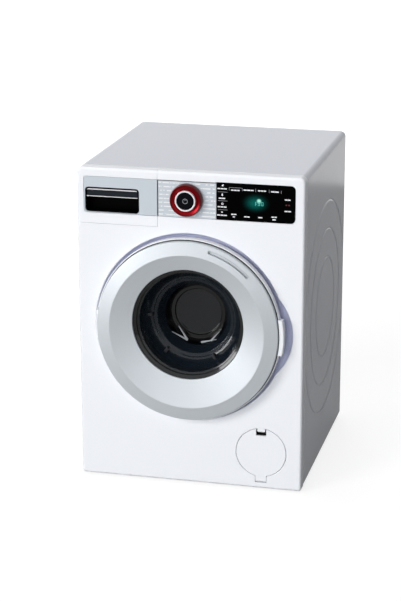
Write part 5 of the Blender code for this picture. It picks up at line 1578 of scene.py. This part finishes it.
@dataclass
class Drawer:
    """The drawer front with its plate and grip, the tray and its housing."""

    body: Body
    shop: Workshop
    front: Front
    strip_corner: float = 0.0025
    plate_edge: float = 0.0002
    grip_wall: float = 0.0010
    grip_corner: float = 0.0018
    bar_height: float = 0.0060
    bar_depths: Span = (0.0010, 0.0030)
    bar_edge: float = 0.0003
    line_height: float = 0.0005

    def build(self) -> None:
        """Build what shows in front and dress the tray and its housing."""
        body = self.body
        across, _, heights = spans_of("drawer_front", body)
        plate_across, plate_depths, plate_heights = spans_of("drawer_plate", body)
        cup_across, cup_depths, cup_heights = spans_of("drawer_grip", body)
        front = self.front.slab("drawer_moulding")
        work(front, Operation.KEEP,
             block("drawer_bounds", body, (across[0] - OVERRUN, across[1]),
                   (-OVERRUN, body.seam + OVERRUN), (heights[0], heights[1] + OVERRUN)))
        corner = self.grip_corner + self.grip_wall
        gap = self.front.pocket_gap
        reach = (-OVERRUN, self.front.wall + OVERRUN)
        hole = rectangle(grown(cup_across, gap), grown(cup_heights, gap), (corner,) * 4)
        side_wall, return_wall = self.front.side_wall, self.front.return_wall
        plate_radii = (self.strip_corner, 0, 0, self.strip_corner)
        pocket = rectangle((plate_across[0] - gap, across[1] + OVERRUN), grown(plate_heights, gap),
                           plate_radii)
        work(front, Operation.CUT,
             block("drawer_room", body, (side_wall - body.half_width, across[1] - return_wall),
                   (self.front.wall, body.seam + OVERRUN),
                   (heights[0] + return_wall, body.top - side_wall)),
             plate("plate_pocket", body, pocket, (-OVERRUN, self.front.pocket_depth)),
             plate("cup_hole", body, hole, reach))
        self.shop.piece(front, "drawer", Slot.WHITE, ("drawer_front",))
        face = plate("drawer_face_plate", body, rectangle(plate_across, plate_heights, plate_radii),
                     plate_depths, self.plate_edge, 2)
        work(face, Operation.CUT, plate("plate_hole", body, hole, grown(plate_depths, OVERRUN)))
        self.shop.piece(face, "drawer", Slot.SILVER, ("drawer_plate",))
        self.grip(cup_across, cup_depths, cup_heights)
        self.shop.carry_over(Slot.WHITE, "drawer_tray")
        self.shop.carry_over(Slot.GREY, "drawer_housing")

    def grip(self, across: Span, depths: Span, heights: Span) -> None:
        """The black cup of the grip with the glossy bar across its top.

        Args:
            across: The cup's two places along X.
            depths: Its two depths.
            heights: Its two places along Z.
        """
        body = self.body
        wall = self.grip_wall
        outline = rectangle(across, heights, (self.grip_corner + wall,) * 4)
        cup = plate("grip_cup", body, outline, depths, wall / 3, 2)
        inside = grown(across, -wall)
        room = rectangle(inside, grown(heights, -wall), (self.grip_corner,) * 4)
        work(cup, Operation.CUT, plate("grip_room", body, room, (-OVERRUN, depths[1] - wall)))
        self.shop.piece(cup, "drawer", Slot.BLACK_GLOSS, ("drawer_grip",))
        top = heights[1] - wall
        low = top - self.bar_height
        bar = block("grip_bar", body, inside, self.bar_depths, (low, top), self.bar_edge, 3)
        self.shop.piece(bar, "drawer", Slot.BLACK_GLOSS, (), "bar_gloss")
        line = self.line_height
        proud = (self.bar_depths[0] - line, self.bar_depths[1])
        edges = ((low - line, low), (top - 2 * line, top))
        rims = [block("rim", body, inside, proud, edge) for edge in edges]
        self.shop.piece(merged("grip_bar_rims", rims), "drawer", Slot.CHROME, (), "chrome_trim")


@dataclass
class Door:
    """The door: silver ring, white shell, smoked window, handle and hinge pin."""

    body: Body
    shop: Workshop
    ring_radius: float = 0.0743
    crest_radius: float = 0.0635
    window_rise: float = 0.0048
    window_radius: float = 0.0457
    ring_wall: float = 0.0020
    skirt_depth: float = -0.0073
    rim_depth: float = -0.0111
    window_depth: float = -0.0080
    skirt_edge: float = 0.0002
    rim_edge: float = 0.0009
    crest_edge: float = 0.0016
    window_edge: float = 0.0005
    shell_radius: float = 0.0758
    shell_depths: tuple[float, float, float] = (-0.0070, -0.0010, 0.0040)
    shell_taper: float = 0.0033
    hub_wall: float = 0.0030
    hub_radius: float = 0.0495
    well_radius: float = 0.0705
    slot_radii: Span = (0.0682, 0.0713)
    slot_angles: Span = (math.radians(45), math.radians(74))
    slot_depth: float = 0.0006
    slot_line: float = 0.0005
    seam_radii: Span = (0.0740, 0.0750)
    seam_depths: Span = (-0.0072, -0.0064)
    rim_hole_place: Point = (0.0718, 0.1541)
    rim_hole_radius: float = 0.0008
    shell_edges: tuple[float, float, float, float] = (0.0003, 0.0015, 0.0010, 0.0002)
    hinge: Point = Front.hinge
    knuckle_radius: float = Front.lug_radius
    lug_heights: Span = (0.0075, 0.0145)
    lug_notch_left: float = 0.0042
    lug_notch_right: float = -0.0715
    notch_depths: Span = (-0.009, 0.006)
    handle_gap: float = 0.0003
    handle_notch: Span = (-0.009, -0.0027)
    hook_notch: tuple[Span, Span, Span] = ((0.0701, 0.0734), (-0.005, 0.006), (0.1285, 0.1393))
    pull_radius: float = 0.0750
    pull_back: float = -0.0030
    pull_edge: float = 0.0008
    root_front: float = -0.0069
    root_edge: float = 0.0002
    hook_across: Span = (0.0705, 0.0730)
    hook_front: float = -0.0040
    hook_heights: Span = (0.1289, 0.1389)
    # The bowl's corners as radius, depth and rounding: inside from the nose to the rim, then the
    # flange with its depths from its own front, then outside from the rim to the nose
    bowl_inside: tuple[Corner, ...] = (
        (0, 0.0310, 0), (0.0195, 0.0310, 0.0008), (0.0198, 0.0292, 0.0004),
        (0.0227, 0.0290, 0.0006), (0.0236, 0.0254, 0.0008), (0.0306, 0.0140, 0.0010),
        (0.0330, 0.0134, 0.0003), (0.0337, 0.0126, 0.0002), (0.0352, 0.0118, 0.0006),
        (0.0400, 0.0040, 0.0030), (0.0412, -0.0018, 0.0003), (0.0419, -0.0024, 0.0002),
        (0.0429, -0.0028, 0.0003), (0.0431, -0.0046, 0.0003),
    )
    bowl_flange: tuple[Corner, ...] = (
        (0.0452, 0, 0.0010), (0.0488, 0, 0.0003), (0.0488, 0.0017, 0), (0.0450, 0.0017, 0.0004),
    )
    bowl_outside: tuple[Corner, ...] = (
        (0.0425, 0.0040, 0.0030), (0.0378, 0.0134, 0.0015), (0.0328, 0.0158, 0.0015),
        (0.0225, 0.0310, 0.0020), (0.0205, 0.0330, 0.0010), (0, 0.0330, 0),
    )
    clip_angles: tuple[float, ...] = (178, 232, 300)
    clip_radii: Span = (0.0335, 0.0385)
    clip_depths: Span = (0.0085, 0.0140)
    clip_half_width: float = 0.0012
    clip_edge: float = 0.0004
    # Pale fins in the bowl: painted highlights that stand in for streaks of reflected light
    glint_fin_radii: Span = (0.0002, 0.0010)
    glint_fin_steps: int = 12
    glint_fin_ends: tuple[tuple[Corner, Corner], ...] = (
        ((-0.0204, 0.0214, 0.1232), (-0.0078, 0.0238, 0.1162)),
        ((-0.0160, 0.0262, 0.1270), (-0.0080, 0.0240, 0.1164)),
        ((0.0185, 0.0250, 0.1249), (0.0120, 0.0226, 0.1172)),
        ((0.0170, 0.0212, 0.1193), (0.0040, 0.0236, 0.1152)),
    )

    def build(self) -> None:
        """Build the door."""
        self.centre = centre_of("door_ring")
        self.drum = centre_of("drum_shell")
        self.ring()
        self.shell()
        self.window()
        self.handle()
        self.shop.carry_over(Slot.GREY, "window_retainer", "latch_catch")
        self.shop.carry_over(Slot.STEEL, "door_hinge_pin")

    def lift(self, piece: bpy.types.Object, outer: float, inner: float) -> None:
        """Lift a turned piece's middle to the window's height.

        Args:
            piece: The piece, turned about the door's centre.
            outer: The radius from which nothing is lifted.
            inner: The radius inside which everything is lifted in full.
        """
        bm = bmesh.new()
        bm.from_mesh(piece.data)
        for vert in bm.verts:
            radius = math.hypot(vert.co.x - self.centre[0], vert.co.z - self.centre[1])
            share = min(1.0, max(0.0, (outer - radius) / (outer - inner)))
            vert.co.z += self.window_rise * share
        bmesh.ops.recalc_face_normals(bm, faces=bm.faces)
        bm.to_mesh(piece.data)
        bm.free()

    def ring(self) -> None:
        """The silver ring, with a crest round the window and a shallow arched slot."""
        _, (front, lip_back), _ = spans_of("door_ring", self.body)
        rim_inside = self.ring_radius - self.ring_wall
        corners = [
            (self.ring_radius, self.skirt_depth, self.skirt_edge),
            (self.ring_radius, self.rim_depth, self.rim_edge),
            (self.crest_radius, front, self.crest_edge),
            (self.window_radius, self.window_depth, self.window_edge),
            (self.window_radius, lip_back, 0),
            (self.crest_radius, front + self.ring_wall, 0),
            (rim_inside, self.rim_depth + self.ring_wall, 0),
            (rim_inside, self.skirt_depth, 0),
        ]
        ring = turned("door_face_ring", self.body, filleted(corners), self.centre)
        self.lift(ring, self.crest_radius, self.window_radius)
        groove = self.slot_cutter("ring_slot", front, 0)
        work(groove, Operation.CUT, self.slot_cutter("ring_slot_island", front, self.slot_line))
        work(ring, Operation.CUT, groove)
        self.shop.piece(ring, "door", Slot.RING, ("door_ring",))
        seam = tube(self.seam_radii, self.seam_depths)
        self.shop.piece(turned("ring_seam", self.body, seam, self.centre), "door", Slot.BLACK)
        x, z = self.rim_hole_place
        radius = self.rim_hole_radius
        start = self.body.at(x, self.shell_depths[0] - radius / 4, z)
        plug = pin("rim_plug", start, start + Vector((0, radius, 0)), (radius, radius))
        self.shop.piece(plug, "door", Slot.BLACK)

    def slot_cutter(self, name: str, front: float, margin: float) -> bpy.types.Object:
        """The cutter of the arched slot in the ring's outer band.

        Args:
            name: The cutter's name.
            front: The crest's depth.
            margin: How much smaller than the slot it is on every side.

        Returns:
            The cutter.
        """
        body = self.body
        inner, outer = grown(self.slot_radii, -margin)
        start, end = self.slot_angles
        middle = (inner + outer) / 2
        slope = (front - self.rim_depth) / (self.ring_radius - self.crest_radius)
        surface = front - (middle - self.crest_radius) * slope
        floor = surface + self.slot_depth + (OVERRUN if margin else 0)
        x, z = self.centre
        bm = bmesh.new()
        corners = tube((inner, outer), (front - OVERRUN, floor))
        base = body.at(x, 0, z)
        verts = [bm.verts.new(base + Vector((radius, depth, 0))) for radius, depth in corners]
        face = bm.faces.new(verts)
        bmesh.ops.rotate(bm, verts=bm.verts, cent=base, matrix=Matrix.Rotation(-start, 3, "Y"))
        bmesh.ops.spin(bm, geom=[face], cent=base, axis=(0, -1, 0), angle=end - start,
                       steps=SMALL_STEPS)
        bmesh.ops.recalc_face_normals(bm, faces=bm.faces)
        cutter = to_object(name, bm)
        half = (outer - inner) / 2
        for angle in (start, end):
            end_x, end_z = x + middle * math.cos(angle), z + middle * math.sin(angle)
            tip = pin("slot_end", body.at(end_x, front - OVERRUN, end_z),
                      body.at(end_x, floor, end_z), (half, half))
            work(cutter, Operation.JOIN, tip)
        return cutter

    def shell(self) -> None:
        """The white back shell with the hinge's knuckle."""
        body = self.body
        outer = self.shell_radius
        inner = outer - self.ring_wall
        front, side_back, back = self.shell_depths
        front_edge, side_edge, back_edge, seam_edge = self.shell_edges
        corners = [
            (outer, front, front_edge),
            (outer, side_back, side_edge),
            (outer - self.shell_taper, back, back_edge),
            (self.hub_radius - self.hub_wall, back, 0),
            (self.hub_radius - self.hub_wall, -back, 0),
            (self.hub_radius, -back, 0),
            (self.hub_radius, back - self.ring_wall, 0),
            (self.well_radius, back - self.ring_wall, 0),
            (inner, side_back, 0),
            (inner, self.seam_depths[1], 0),
            (self.seam_radii[1], self.seam_depths[1], 0),
            (self.seam_radii[1], front, seam_edge),
        ]
        shell = turned("door_back_shell", body, filleted(corners), self.centre)
        self.lift(shell, self.well_radius, self.hub_radius)
        hinge_x, proud = self.hinge
        height = self.centre[1]
        for side in SIDES:
            heights = tuple(sorted(height + side * away for away in self.lug_heights))
            notch = block(f"lug_notch_{side}", body,
                          (hinge_x - self.lug_notch_left, self.lug_notch_right),
                          self.notch_depths, heights)
            work(shell, Operation.CUT, notch)
        low, high = grown((height, height), self.lug_heights[0])
        knuckle = pin("knuckle", body.at(hinge_x, -proud, low), body.at(hinge_x, -proud, high),
                      (self.knuckle_radius,) * 2)
        work(shell, Operation.JOIN, knuckle)
        across, _, heights = spans_of("door_handle", body)
        gap = self.handle_gap
        work(shell, Operation.CUT,
             block("handle_notch", body, (across[0] - gap, self.shell_radius + OVERRUN),
                   self.handle_notch, grown(heights, gap)),
             block("hook_notch", body, *self.hook_notch))
        self.shop.piece(shell, "door", Slot.WHITE, ("door_shell",))

    def window(self) -> None:
        """The smoked bowl with its stepped wall and flat nose, ribs on the wall, and pale fins that
        are painted highlights.
        """
        body = self.body
        front = spans_of("door_window", body)[1][0]
        flange = [(radius, front + behind, edge) for radius, behind, edge in self.bowl_flange]
        corners = [*self.bowl_inside, *flange, *self.bowl_outside]
        bowl = turned("window_bowl", body, filleted(corners, closed=False), self.drum)
        self.shop.piece(bowl, "door", Slot.WINDOW, ("door_window",))
        clips = [self.clip(angle) for angle in self.clip_angles]
        self.shop.piece(merged("window_clips", clips), "door", Slot.BLACK)
        # The fins are painted highlights, placed where streaks of reflected light fall
        glint_fins = [pin("fin", body.at(*start), body.at(*end), self.glint_fin_radii, self.glint_fin_steps)
                for start, end in self.glint_fin_ends]
        self.shop.piece(merged("window_glint_fins", glint_fins), "door", Slot.CHROME, (), "glint_fin_silver")

    def clip(self, degrees: float) -> bpy.types.Object:
        """A small rib on the bowl's stepped wall.

        Args:
            degrees: Its angle about the bowl's axis, from the right and upwards.

        Returns:
            The rib.
        """
        body = self.body
        x, z = self.drum
        across = tuple(x + radius for radius in self.clip_radii)
        rib = block("clip", body, across, self.clip_depths, grown((z, z), self.clip_half_width),
                    self.clip_edge)
        turn = Matrix.Rotation(-math.radians(degrees), 4, "Y")
        place = Matrix.Translation(body.at(x, 0, z))
        rib.data.transform(place @ turn @ place.inverted())
        return rib

    def arc(self, radius: float, heights: Span) -> list[Point]:
        """Points of a circle about the door's centre, on its right side.

        Args:
            radius: The circle's radius.
            heights: The heights between which the points lie.

        Returns:
            The points, from the lowest up.
        """
        x, z = self.centre
        low, high = (math.asin((height - z) / radius) for height in heights)
        steps = ROUND_STEPS // 4
        angles = [low + (high - low) * step / steps for step in range(steps + 1)]
        return [(x + radius * math.cos(angle), z + radius * math.sin(angle)) for angle in angles]

    def handle(self) -> None:
        """The white handle tab with its root and the latch hook."""
        body = self.body
        across, depths, heights = spans_of("door_handle", body)
        inner = self.arc(self.pull_radius, heights)
        outer = self.arc(across[1], heights)
        tab = plate("door_pull", body, inner + outer[::-1], (depths[0], self.pull_back),
                    self.pull_edge, 4)
        root = block("pull_root", body, (across[0], self.pull_radius),
                     (self.root_front, self.pull_back), grown(heights, -self.handle_gap),
                     self.root_edge)
        hook = block("pull_hook", body, self.hook_across, (self.hook_front, depths[1]),
                     self.hook_heights, self.root_edge)
        work(tab, Operation.JOIN, root, hook)
        self.shop.piece(tab, "door", Slot.WHITE, ("door_handle",))


@dataclass
class Drum:
    """The gasket, the drum with its lifters, and the tub round it."""

    body: Body
    shop: Workshop
    wall: float = 0.0015
    mouth_radius: float = 0.0510
    mouth_edge: float = 0.0004
    rim_edges: Span = (0.0010, 0.0006)
    hole_radius: float = 0.0017
    hole_steps: int = 10
    hole_rows: int = 7
    holes_around: int = 24
    end_wall: float = 0.0030
    end_edge: float = 0.0003
    hub_radius: float = 0.0080
    hub_edges: Span = (0.0015, 0.0008)
    press_radii: tuple[Span, Span] = ((0.0200, 0.0305), (0.0400, 0.0495))
    press_depth: float = 0.0020
    press_slope: float = 0.0015
    press_edge: float = 0.0010
    lifters: int = 3
    lifter_foot: float = 0.0070
    lifter_crest: float = 0.0022
    lifter_height: float = 0.0128
    lifter_edges: Span = (0.0016, 0.0012)
    # The gasket's corners as radius, depth and rounding, out and back in along its fold
    gasket_corners: tuple[Corner, ...] = (
        (0.0463, 0.0070, 0.0006), (0.0495, 0.0070, 0.0004), (0.0495, 0.0135, 0.0006),
        (0.0517, 0.0157, 0.0008), (0.0495, 0.0180, 0.0006), (0.0495, 0.0256, 0),
        (0.0480, 0.0256, 0.0004), (0.0480, 0.0180, 0.0006), (0.0502, 0.0157, 0.0008),
        (0.0480, 0.0135, 0.0006), (0.0463, 0.0095, 0.0008),
    )

    def build(self) -> None:
        """Build the drum and dress the tub and the drive."""
        self.centre = centre_of("drum_shell")
        self.gasket()
        self.shell()
        self.back()
        self.paddles()
        self.shop.carry_over(Slot.GREY, "tub_front", "tub_rear")
        self.shop.carry_over(Slot.STEEL, "drum_shaft", "idler_axle", "motor", "gearbox_plate")
        self.shop.carry_over(Slot.BRASS, "front_bush", "rear_bush", "motor_pinion")
        self.shop.carry_over(Slot.GEAR, "drum_gear", "idler_gear")

    def gasket(self) -> None:
        """The folded rubber between the front and the tub."""
        profile = filleted(list(self.gasket_corners))
        self.shop.piece(turned("gasket_fold", self.body, profile, self.centre), "body",
                        Slot.GREY_RUBBER, ("door_gasket",))

    def shell(self) -> None:
        """The drum's wall with rows of small round holes."""
        body = self.body
        _, (front, back), (low, high) = spans_of("drum_shell", body)
        radius = (high - low) / 2
        wall = self.wall
        corners = [
            (self.mouth_radius, front, self.mouth_edge),
            (radius, front, self.rim_edges[0]),
            (radius, back, 0),
            (radius - wall, back, 0),
            (radius - wall, front + wall, self.rim_edges[1]),
            (self.mouth_radius, front + wall, self.mouth_edge),
        ]
        shell = turned("drum_wall", body, filleted(corners), self.centre)
        x, z = self.centre
        bm = bmesh.new()
        for row in range(self.hole_rows):
            depth = front + (back - front) * (row + 1) / (self.hole_rows + 1)
            for number in range(self.holes_around):
                angle = math.tau * (number + 0.5 * (row % 2)) / self.holes_around
                outward = Vector((math.cos(angle), 0, math.sin(angle)))
                middle = body.at(x, depth, z) + outward * (radius - wall / 2)
                add_bar(bm, middle, outward * (4 * wall), (self.hole_radius,) * 2, self.hole_steps)
        work(shell, Operation.CUT, to_object("drum_perforation", bm))
        self.shop.piece(shell, "drum", Slot.DRUM, ("drum_shell",))

    def back(self) -> None:
        """The drum's back with pressed rings round its hub."""
        _, (front, back), (low, high) = spans_of("drum_back", self.body)
        radius = (high - low) / 2
        face = back - self.end_wall
        raised = face - self.press_depth
        edge, slope = self.press_edge, self.press_slope
        corners = [(0, front, 0), (self.hub_radius, front, self.hub_edges[0]),
                   (self.hub_radius, face, self.hub_edges[1])]
        for inner, outer in self.press_radii:
            corners += [(inner, face, edge), (inner + slope, raised, edge),
                        (outer - slope, raised, edge), (outer, face, edge)]
        corners += [(radius, face, self.end_edge), (radius, back, 0), (0, back, 0)]
        profile = filleted(corners, closed=False)
        self.shop.piece(turned("drum_end", self.body, profile, self.centre), "drum", Slot.DRUM,
                        ("drum_back",))

    def paddles(self) -> None:
        """The lifters along the drum's wall."""
        body = self.body
        _, depths, (_, crown) = spans_of("paddle_1", body)
        outer = crown - self.centre[1]
        inner = outer - self.lifter_height
        foot, crest = self.lifter_foot, self.lifter_crest
        crest_edge, end_edge = self.lifter_edges
        outline = filleted([(-foot, outer, 0), (foot, outer, 0), (crest, inner, crest_edge),
                            (-crest, inner, crest_edge)])
        for number in range(self.lifters):
            turn = Matrix.Rotation(math.tau * number / self.lifters, 2)
            placed = [tuple(Vector(self.centre) + turn @ Vector(point)) for point in outline]
            lifter = plate(f"lifter_{number + 1}", body, placed, depths, end_edge)
            self.shop.piece(lifter, "drum", Slot.GREY, (f"paddle_{number + 1}",))


@dataclass
class Flap:
    """The round service flap, its pin and the well behind it."""

    body: Body
    shop: Workshop
    thickness: float = 0.002
    edge: float = 0.0004
    notch_across: Span = (0.0550, 0.0634)
    notch_low: float = 0.0472
    notch_corner: float = 0.0006
    tab_across: Span = (0.05475, 0.06365)
    barrel_radius: float = 0.0017

    def build(self) -> None:
        """Build the flap and dress its pin and well."""
        body = self.body
        (left, right), _, heights = spans_of("drain_flap", body)
        radius = (right - left) / 2
        centre = ((left + right) / 2, heights[1] - radius)
        back = self.thickness
        corners = [(0, 0, 0), (radius, 0, self.edge), (radius, back, 0), (0, back, 0)]
        flap = turned("service_flap", body, filleted(corners, closed=False), centre)
        hinge = heights[0] + self.barrel_radius
        tab = block("flap_tab", body, self.tab_across, (0, back), (hinge, centre[1] - radius / 2))
        ends = (body.at(x, self.barrel_radius, hinge) for x in self.tab_across)
        barrel = pin("flap_barrel", *ends, (self.barrel_radius,) * 2)
        work(flap, Operation.JOIN, tab)
        work(flap, Operation.JOIN, barrel)
        notch = rectangle(self.notch_across, (self.notch_low, heights[1] + OVERRUN),
                          (self.notch_corner,) * 4)
        work(flap, Operation.CUT, plate("flap_notch", body, notch, (-OVERRUN, back + OVERRUN)))
        self.shop.piece(flap, "flap", Slot.WHITE, ("drain_flap",))
        self.shop.carry_over(Slot.STEEL, "flap_pin")
        self.shop.carry_over(Slot.GREY, "flap_well")


# Studio


@dataclass(frozen=True)
class Lamp:
    """A soft square lamp that points at the object."""

    name: str
    place: Place
    size: float
    power: float
    colour: Colour = PLAIN
    mirrored: bool = False
    lights: bool = True

    def build(self, aim: Vector) -> None:
        """Set up the lamp.

        Args:
            aim: Where it points.
        """
        data = bpy.data.lights.new(self.name, "AREA")
        data.size = self.size
        data.energy = self.power
        data.color = self.colour
        lamp = bpy.data.objects.new(self.name, data)
        lamp.location = self.place
        lamp.rotation_euler = (aim - Vector(self.place)).to_track_quat("-Z", "Y").to_euler()
        lamp.visible_glossy = self.mirrored
        lamp.visible_diffuse = self.lights
        bpy.context.scene.collection.objects.link(lamp)


@dataclass
class Studio:
    """The floor, the lamps, the world and the camera."""

    SEEN_BY: ClassVar[tuple[str, ...]] = ("Camera", "Glossy", "Transmission")

    focal_pixels: float = 1836.11
    camera_place: Place = (0.34434, -1.44558, 0.58286)
    camera_forward: Place = (-0.22925, 0.92905, -0.29036)
    camera_right: Place = (0.97097, 0.23919, -0.00130)
    sensor: float = 36.0
    floor_size: float = 12.0
    floor_tone: float = 0.30
    floor_roughness: float = 0.9
    floor_glow: float = 0.80
    mirrored_glow: float = 0.26
    shadow_reach: Span = (0.35, 1.1)
    table_edge: Span = (0.98, 1.02)
    aim: Place = (0.0, 0.0, 0.12)
    lamps: tuple[Lamp, ...] = (
        Lamp("key_lamp", (-3.3, -4.5, 2.2), 2.4, 196.0, (1.0, 0.985, 0.965)),
        Lamp("gleam_lamp", (-4.7, -3.4, 1.0), 3.4, 290.0, mirrored=True, lights=False),
        Lamp("top_lamp", (0.0, 0.3, 3.1), 1.6, 28.0),
        Lamp("fill_lamp", (-0.2, -4.6, 1.0), 2.6, 114.0, (0.955, 0.98, 1.0)),
        Lamp("back_lamp", (-0.7, 2.0, 0.5), 0.9, 16.0),
    )
    ambient: float = 0.12

    def build(self) -> None:
        """Set the stage."""
        bpy.context.scene.view_settings.view_transform = "Standard"
        self.floor()
        self.world()
        for lamp in self.lamps:
            lamp.build(Vector(self.aim))
        self.camera()

    def floor(self) -> None:
        """The plain pale floor."""
        bm = bmesh.new()
        bmesh.ops.create_grid(bm, x_segments=1, y_segments=1, size=self.floor_size)
        floor = to_object("floor", bm)
        floor.data.materials.append(self.floor_material())

    def floor_material(self) -> bpy.types.Material:
        """White where the camera or a reflection sees it, with the object's shadow kept.

        Returns:
            The material.
        """
        material = bpy.data.materials.new("floor_white")
        material.use_nodes = True
        graph = Graph(material)
        away = (graph.axis("X") * graph.axis("X") + graph.axis("Y") * graph.axis("Y")) ** 0.5
        straight = away.smooth(*self.shadow_reach) * (1 - self.floor_glow) + self.floor_glow
        beyond = graph.axis("Y").smooth(*self.table_edge)
        mirrored = beyond * (1 - self.mirrored_glow) + self.mirrored_glow
        path = graph.node("ShaderNodeLightPath")
        rays = (path.outputs[f"Is {kind} Ray"] for kind in self.SEEN_BY)
        camera, glossy, clear = (Value(graph, ray) for ray in rays)
        light = straight * (camera + clear) + mirrored * glossy
        level = graph.blend(light.clamped(), UNLIT, PLAIN)
        graph.shade({"Base Color": (self.floor_tone,) * 3, "Roughness": self.floor_roughness,
                     "Specular IOR Level": 0.0, "Emission Color": level, "Emission Strength": 1.0})
        return material

    def world(self) -> None:
        """White to the camera and in reflections, and dimmer as a light."""
        world = bpy.data.worlds.new("plain_world")
        world.use_nodes = True
        bpy.context.scene.world = world
        tree = world.node_tree
        background = tree.nodes["Background"]
        path = tree.nodes.new("ShaderNodeLightPath")
        level: bpy.types.NodeSocket | float = self.ambient
        for kind in self.SEEN_BY:
            step = tree.nodes.new("ShaderNodeMath")
            step.operation = "MAXIMUM"
            tree.links.new(path.outputs[f"Is {kind} Ray"], step.inputs[0])
            if isinstance(level, float):
                step.inputs[1].default_value = level
            else:
                tree.links.new(level, step.inputs[1])
            level = step.outputs[0]
        tree.links.new(level, background.inputs["Strength"])
        background.inputs["Color"].default_value = (*PLAIN, 1.0)

    def camera(self) -> None:
        """The camera at the photograph's place and angle."""
        data = bpy.data.cameras.new("camera")
        data.sensor_width = self.sensor
        data.lens = self.focal_pixels / IMAGE_HEIGHT * self.sensor
        camera = bpy.data.objects.new("camera", data)
        back = -Vector(self.camera_forward).normalized()
        right = Vector(self.camera_right).normalized()
        up = back.cross(right)
        turn = Matrix((right, up, back)).transposed().to_4x4()
        camera.matrix_world = Matrix.Translation(self.camera_place) @ turn
        bpy.context.scene.collection.objects.link(camera)
        bpy.context.scene.camera = camera


def finishes() -> dict[str, Finish]:
    """Every finish.

    Returns:
        The finishes, by the names of their materials.
    """
    knob = centre_of("knob_ring")
    white = {"colour": (0.87, 0.885, 0.925), "roughness": 0.38, "specular": 0.3, "mottling": 0.006}
    silver = {"colour": (0.62, 0.675, 0.73), "roughness": 0.34, "metallic": 0.30, "coat": 0.2}
    return {
        "white_plastic": Finish(**white),
        # The front's white, with painted shade in the dish round the door
        "front_white_shaded": RecessShade(**white, face=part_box("drawer_front")[0].y,
                                centre=centre_of("door_ring")),
        # Painted shade: a darker, bluer copy of the white plastic for the cabinet's sides and top
        "cabinet_white_shaded": Finish((0.71, 0.735, 0.81), 0.13, specular=0.08, mottling=0.008,
                             grain_strength=0.01),
        "silver_paint": Finish(**silver, grain_scale=2600.0, grain_stretch=(0.05, 1.0, 1.0)),
        "printed_strip": PrintedStrip(**silver, centre=knob),
        "ring_silver": Finish((0.59, 0.625, 0.66), 0.42, metallic=0.40, coat=0.05,
                              grain_scale=3800.0),
        "black_gloss": Finish((0.0008, 0.0008, 0.001), 0.25, specular=0.03),
        "bar_gloss": Finish((0.006, 0.010, 0.016), 0.12, specular=0.35),
        "button_black": Finish((0.002, 0.002, 0.004), 0.25, specular=0.08),
        "lit_lens": LitLens((0.0006, 0.0006, 0.0008), 0.10, specular=0.02,
                            centre=centre_of("display_module")),
        "white_ink": Lit((0.80, 0.82, 0.85), 0.5, strength=0.10),
        "grey_ink": Finish((0.28, 0.29, 0.31), 0.5),
        "red_ink": Lit((0.060, 0.006, 0.008), 0.5, strength=0.3),
        "lit_digits": Lit((0.06, 0.34, 0.31), 0.5, strength=0.6),
        "black_plastic": Finish((0.012, 0.012, 0.014), 0.5),
        "red_gloss": RedGloss((0.22, 0.000, 0.003), 0.30, metallic=0.70, coat=0.06, specular=0.2,
                              centre=knob),
        "chrome_trim": Finish((0.86, 0.85, 0.87), 0.30, metallic=0.15),
        "smoked_window": Bowl((0.004, 0.005, 0.006), 0.08, alpha=0.96, grain_strength=0.0,
                              centre=centre_of("drum_shell")),
        # Painted highlights: the pale fins in the bowl stand in for reflected streaks of light
        "glint_fin_silver": Finish((0.34, 0.36, 0.39), 0.45, metallic=0.3),
        "grey_plastic": Finish((0.060, 0.066, 0.078), 0.42),
        "drum_silver": Finish((0.15, 0.16, 0.18), 0.32, metallic=0.5),
        "grey_rubber": Finish((0.035, 0.039, 0.047), 0.62),
        "black_rubber": Finish((0.012, 0.012, 0.013), 0.8),
        "steel": Finish((0.42, 0.43, 0.45), 0.30, metallic=1.0, grain_scale=2600.0),
        "brass": Finish((0.55, 0.36, 0.12), 0.34, metallic=1.0),
        "gear_plastic": Finish((0.70, 0.67, 0.58), 0.5),
        "board_green": Finish((0.010, 0.090, 0.040), 0.45),
        "cell_jacket": Finish((0.06, 0.13, 0.25), 0.30, coat=0.4),
    }


def clear() -> None:
    """Remove what the open file holds."""
    for obj in list(bpy.data.objects):
        bpy.data.objects.remove(obj)


def main() -> None:
    """Build every sub-assembly and the studio."""
    logging.basicConfig(level=logging.INFO, format="%(name)s: %(message)s")
    clear()
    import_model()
    body = Body.from_frame()
    shop = Workshop(finishes())
    front = Front(body, shop)
    parts = [Housing(body, shop), front, Controls(body, shop), Drawer(body, shop, front),
             Door(body, shop), Drum(body, shop), Flap(body, shop), Studio()]
    for part in parts:
        LOG.info("building %s", type(part).__name__)
        part.build()


if __name__ == "__main__":
    main()
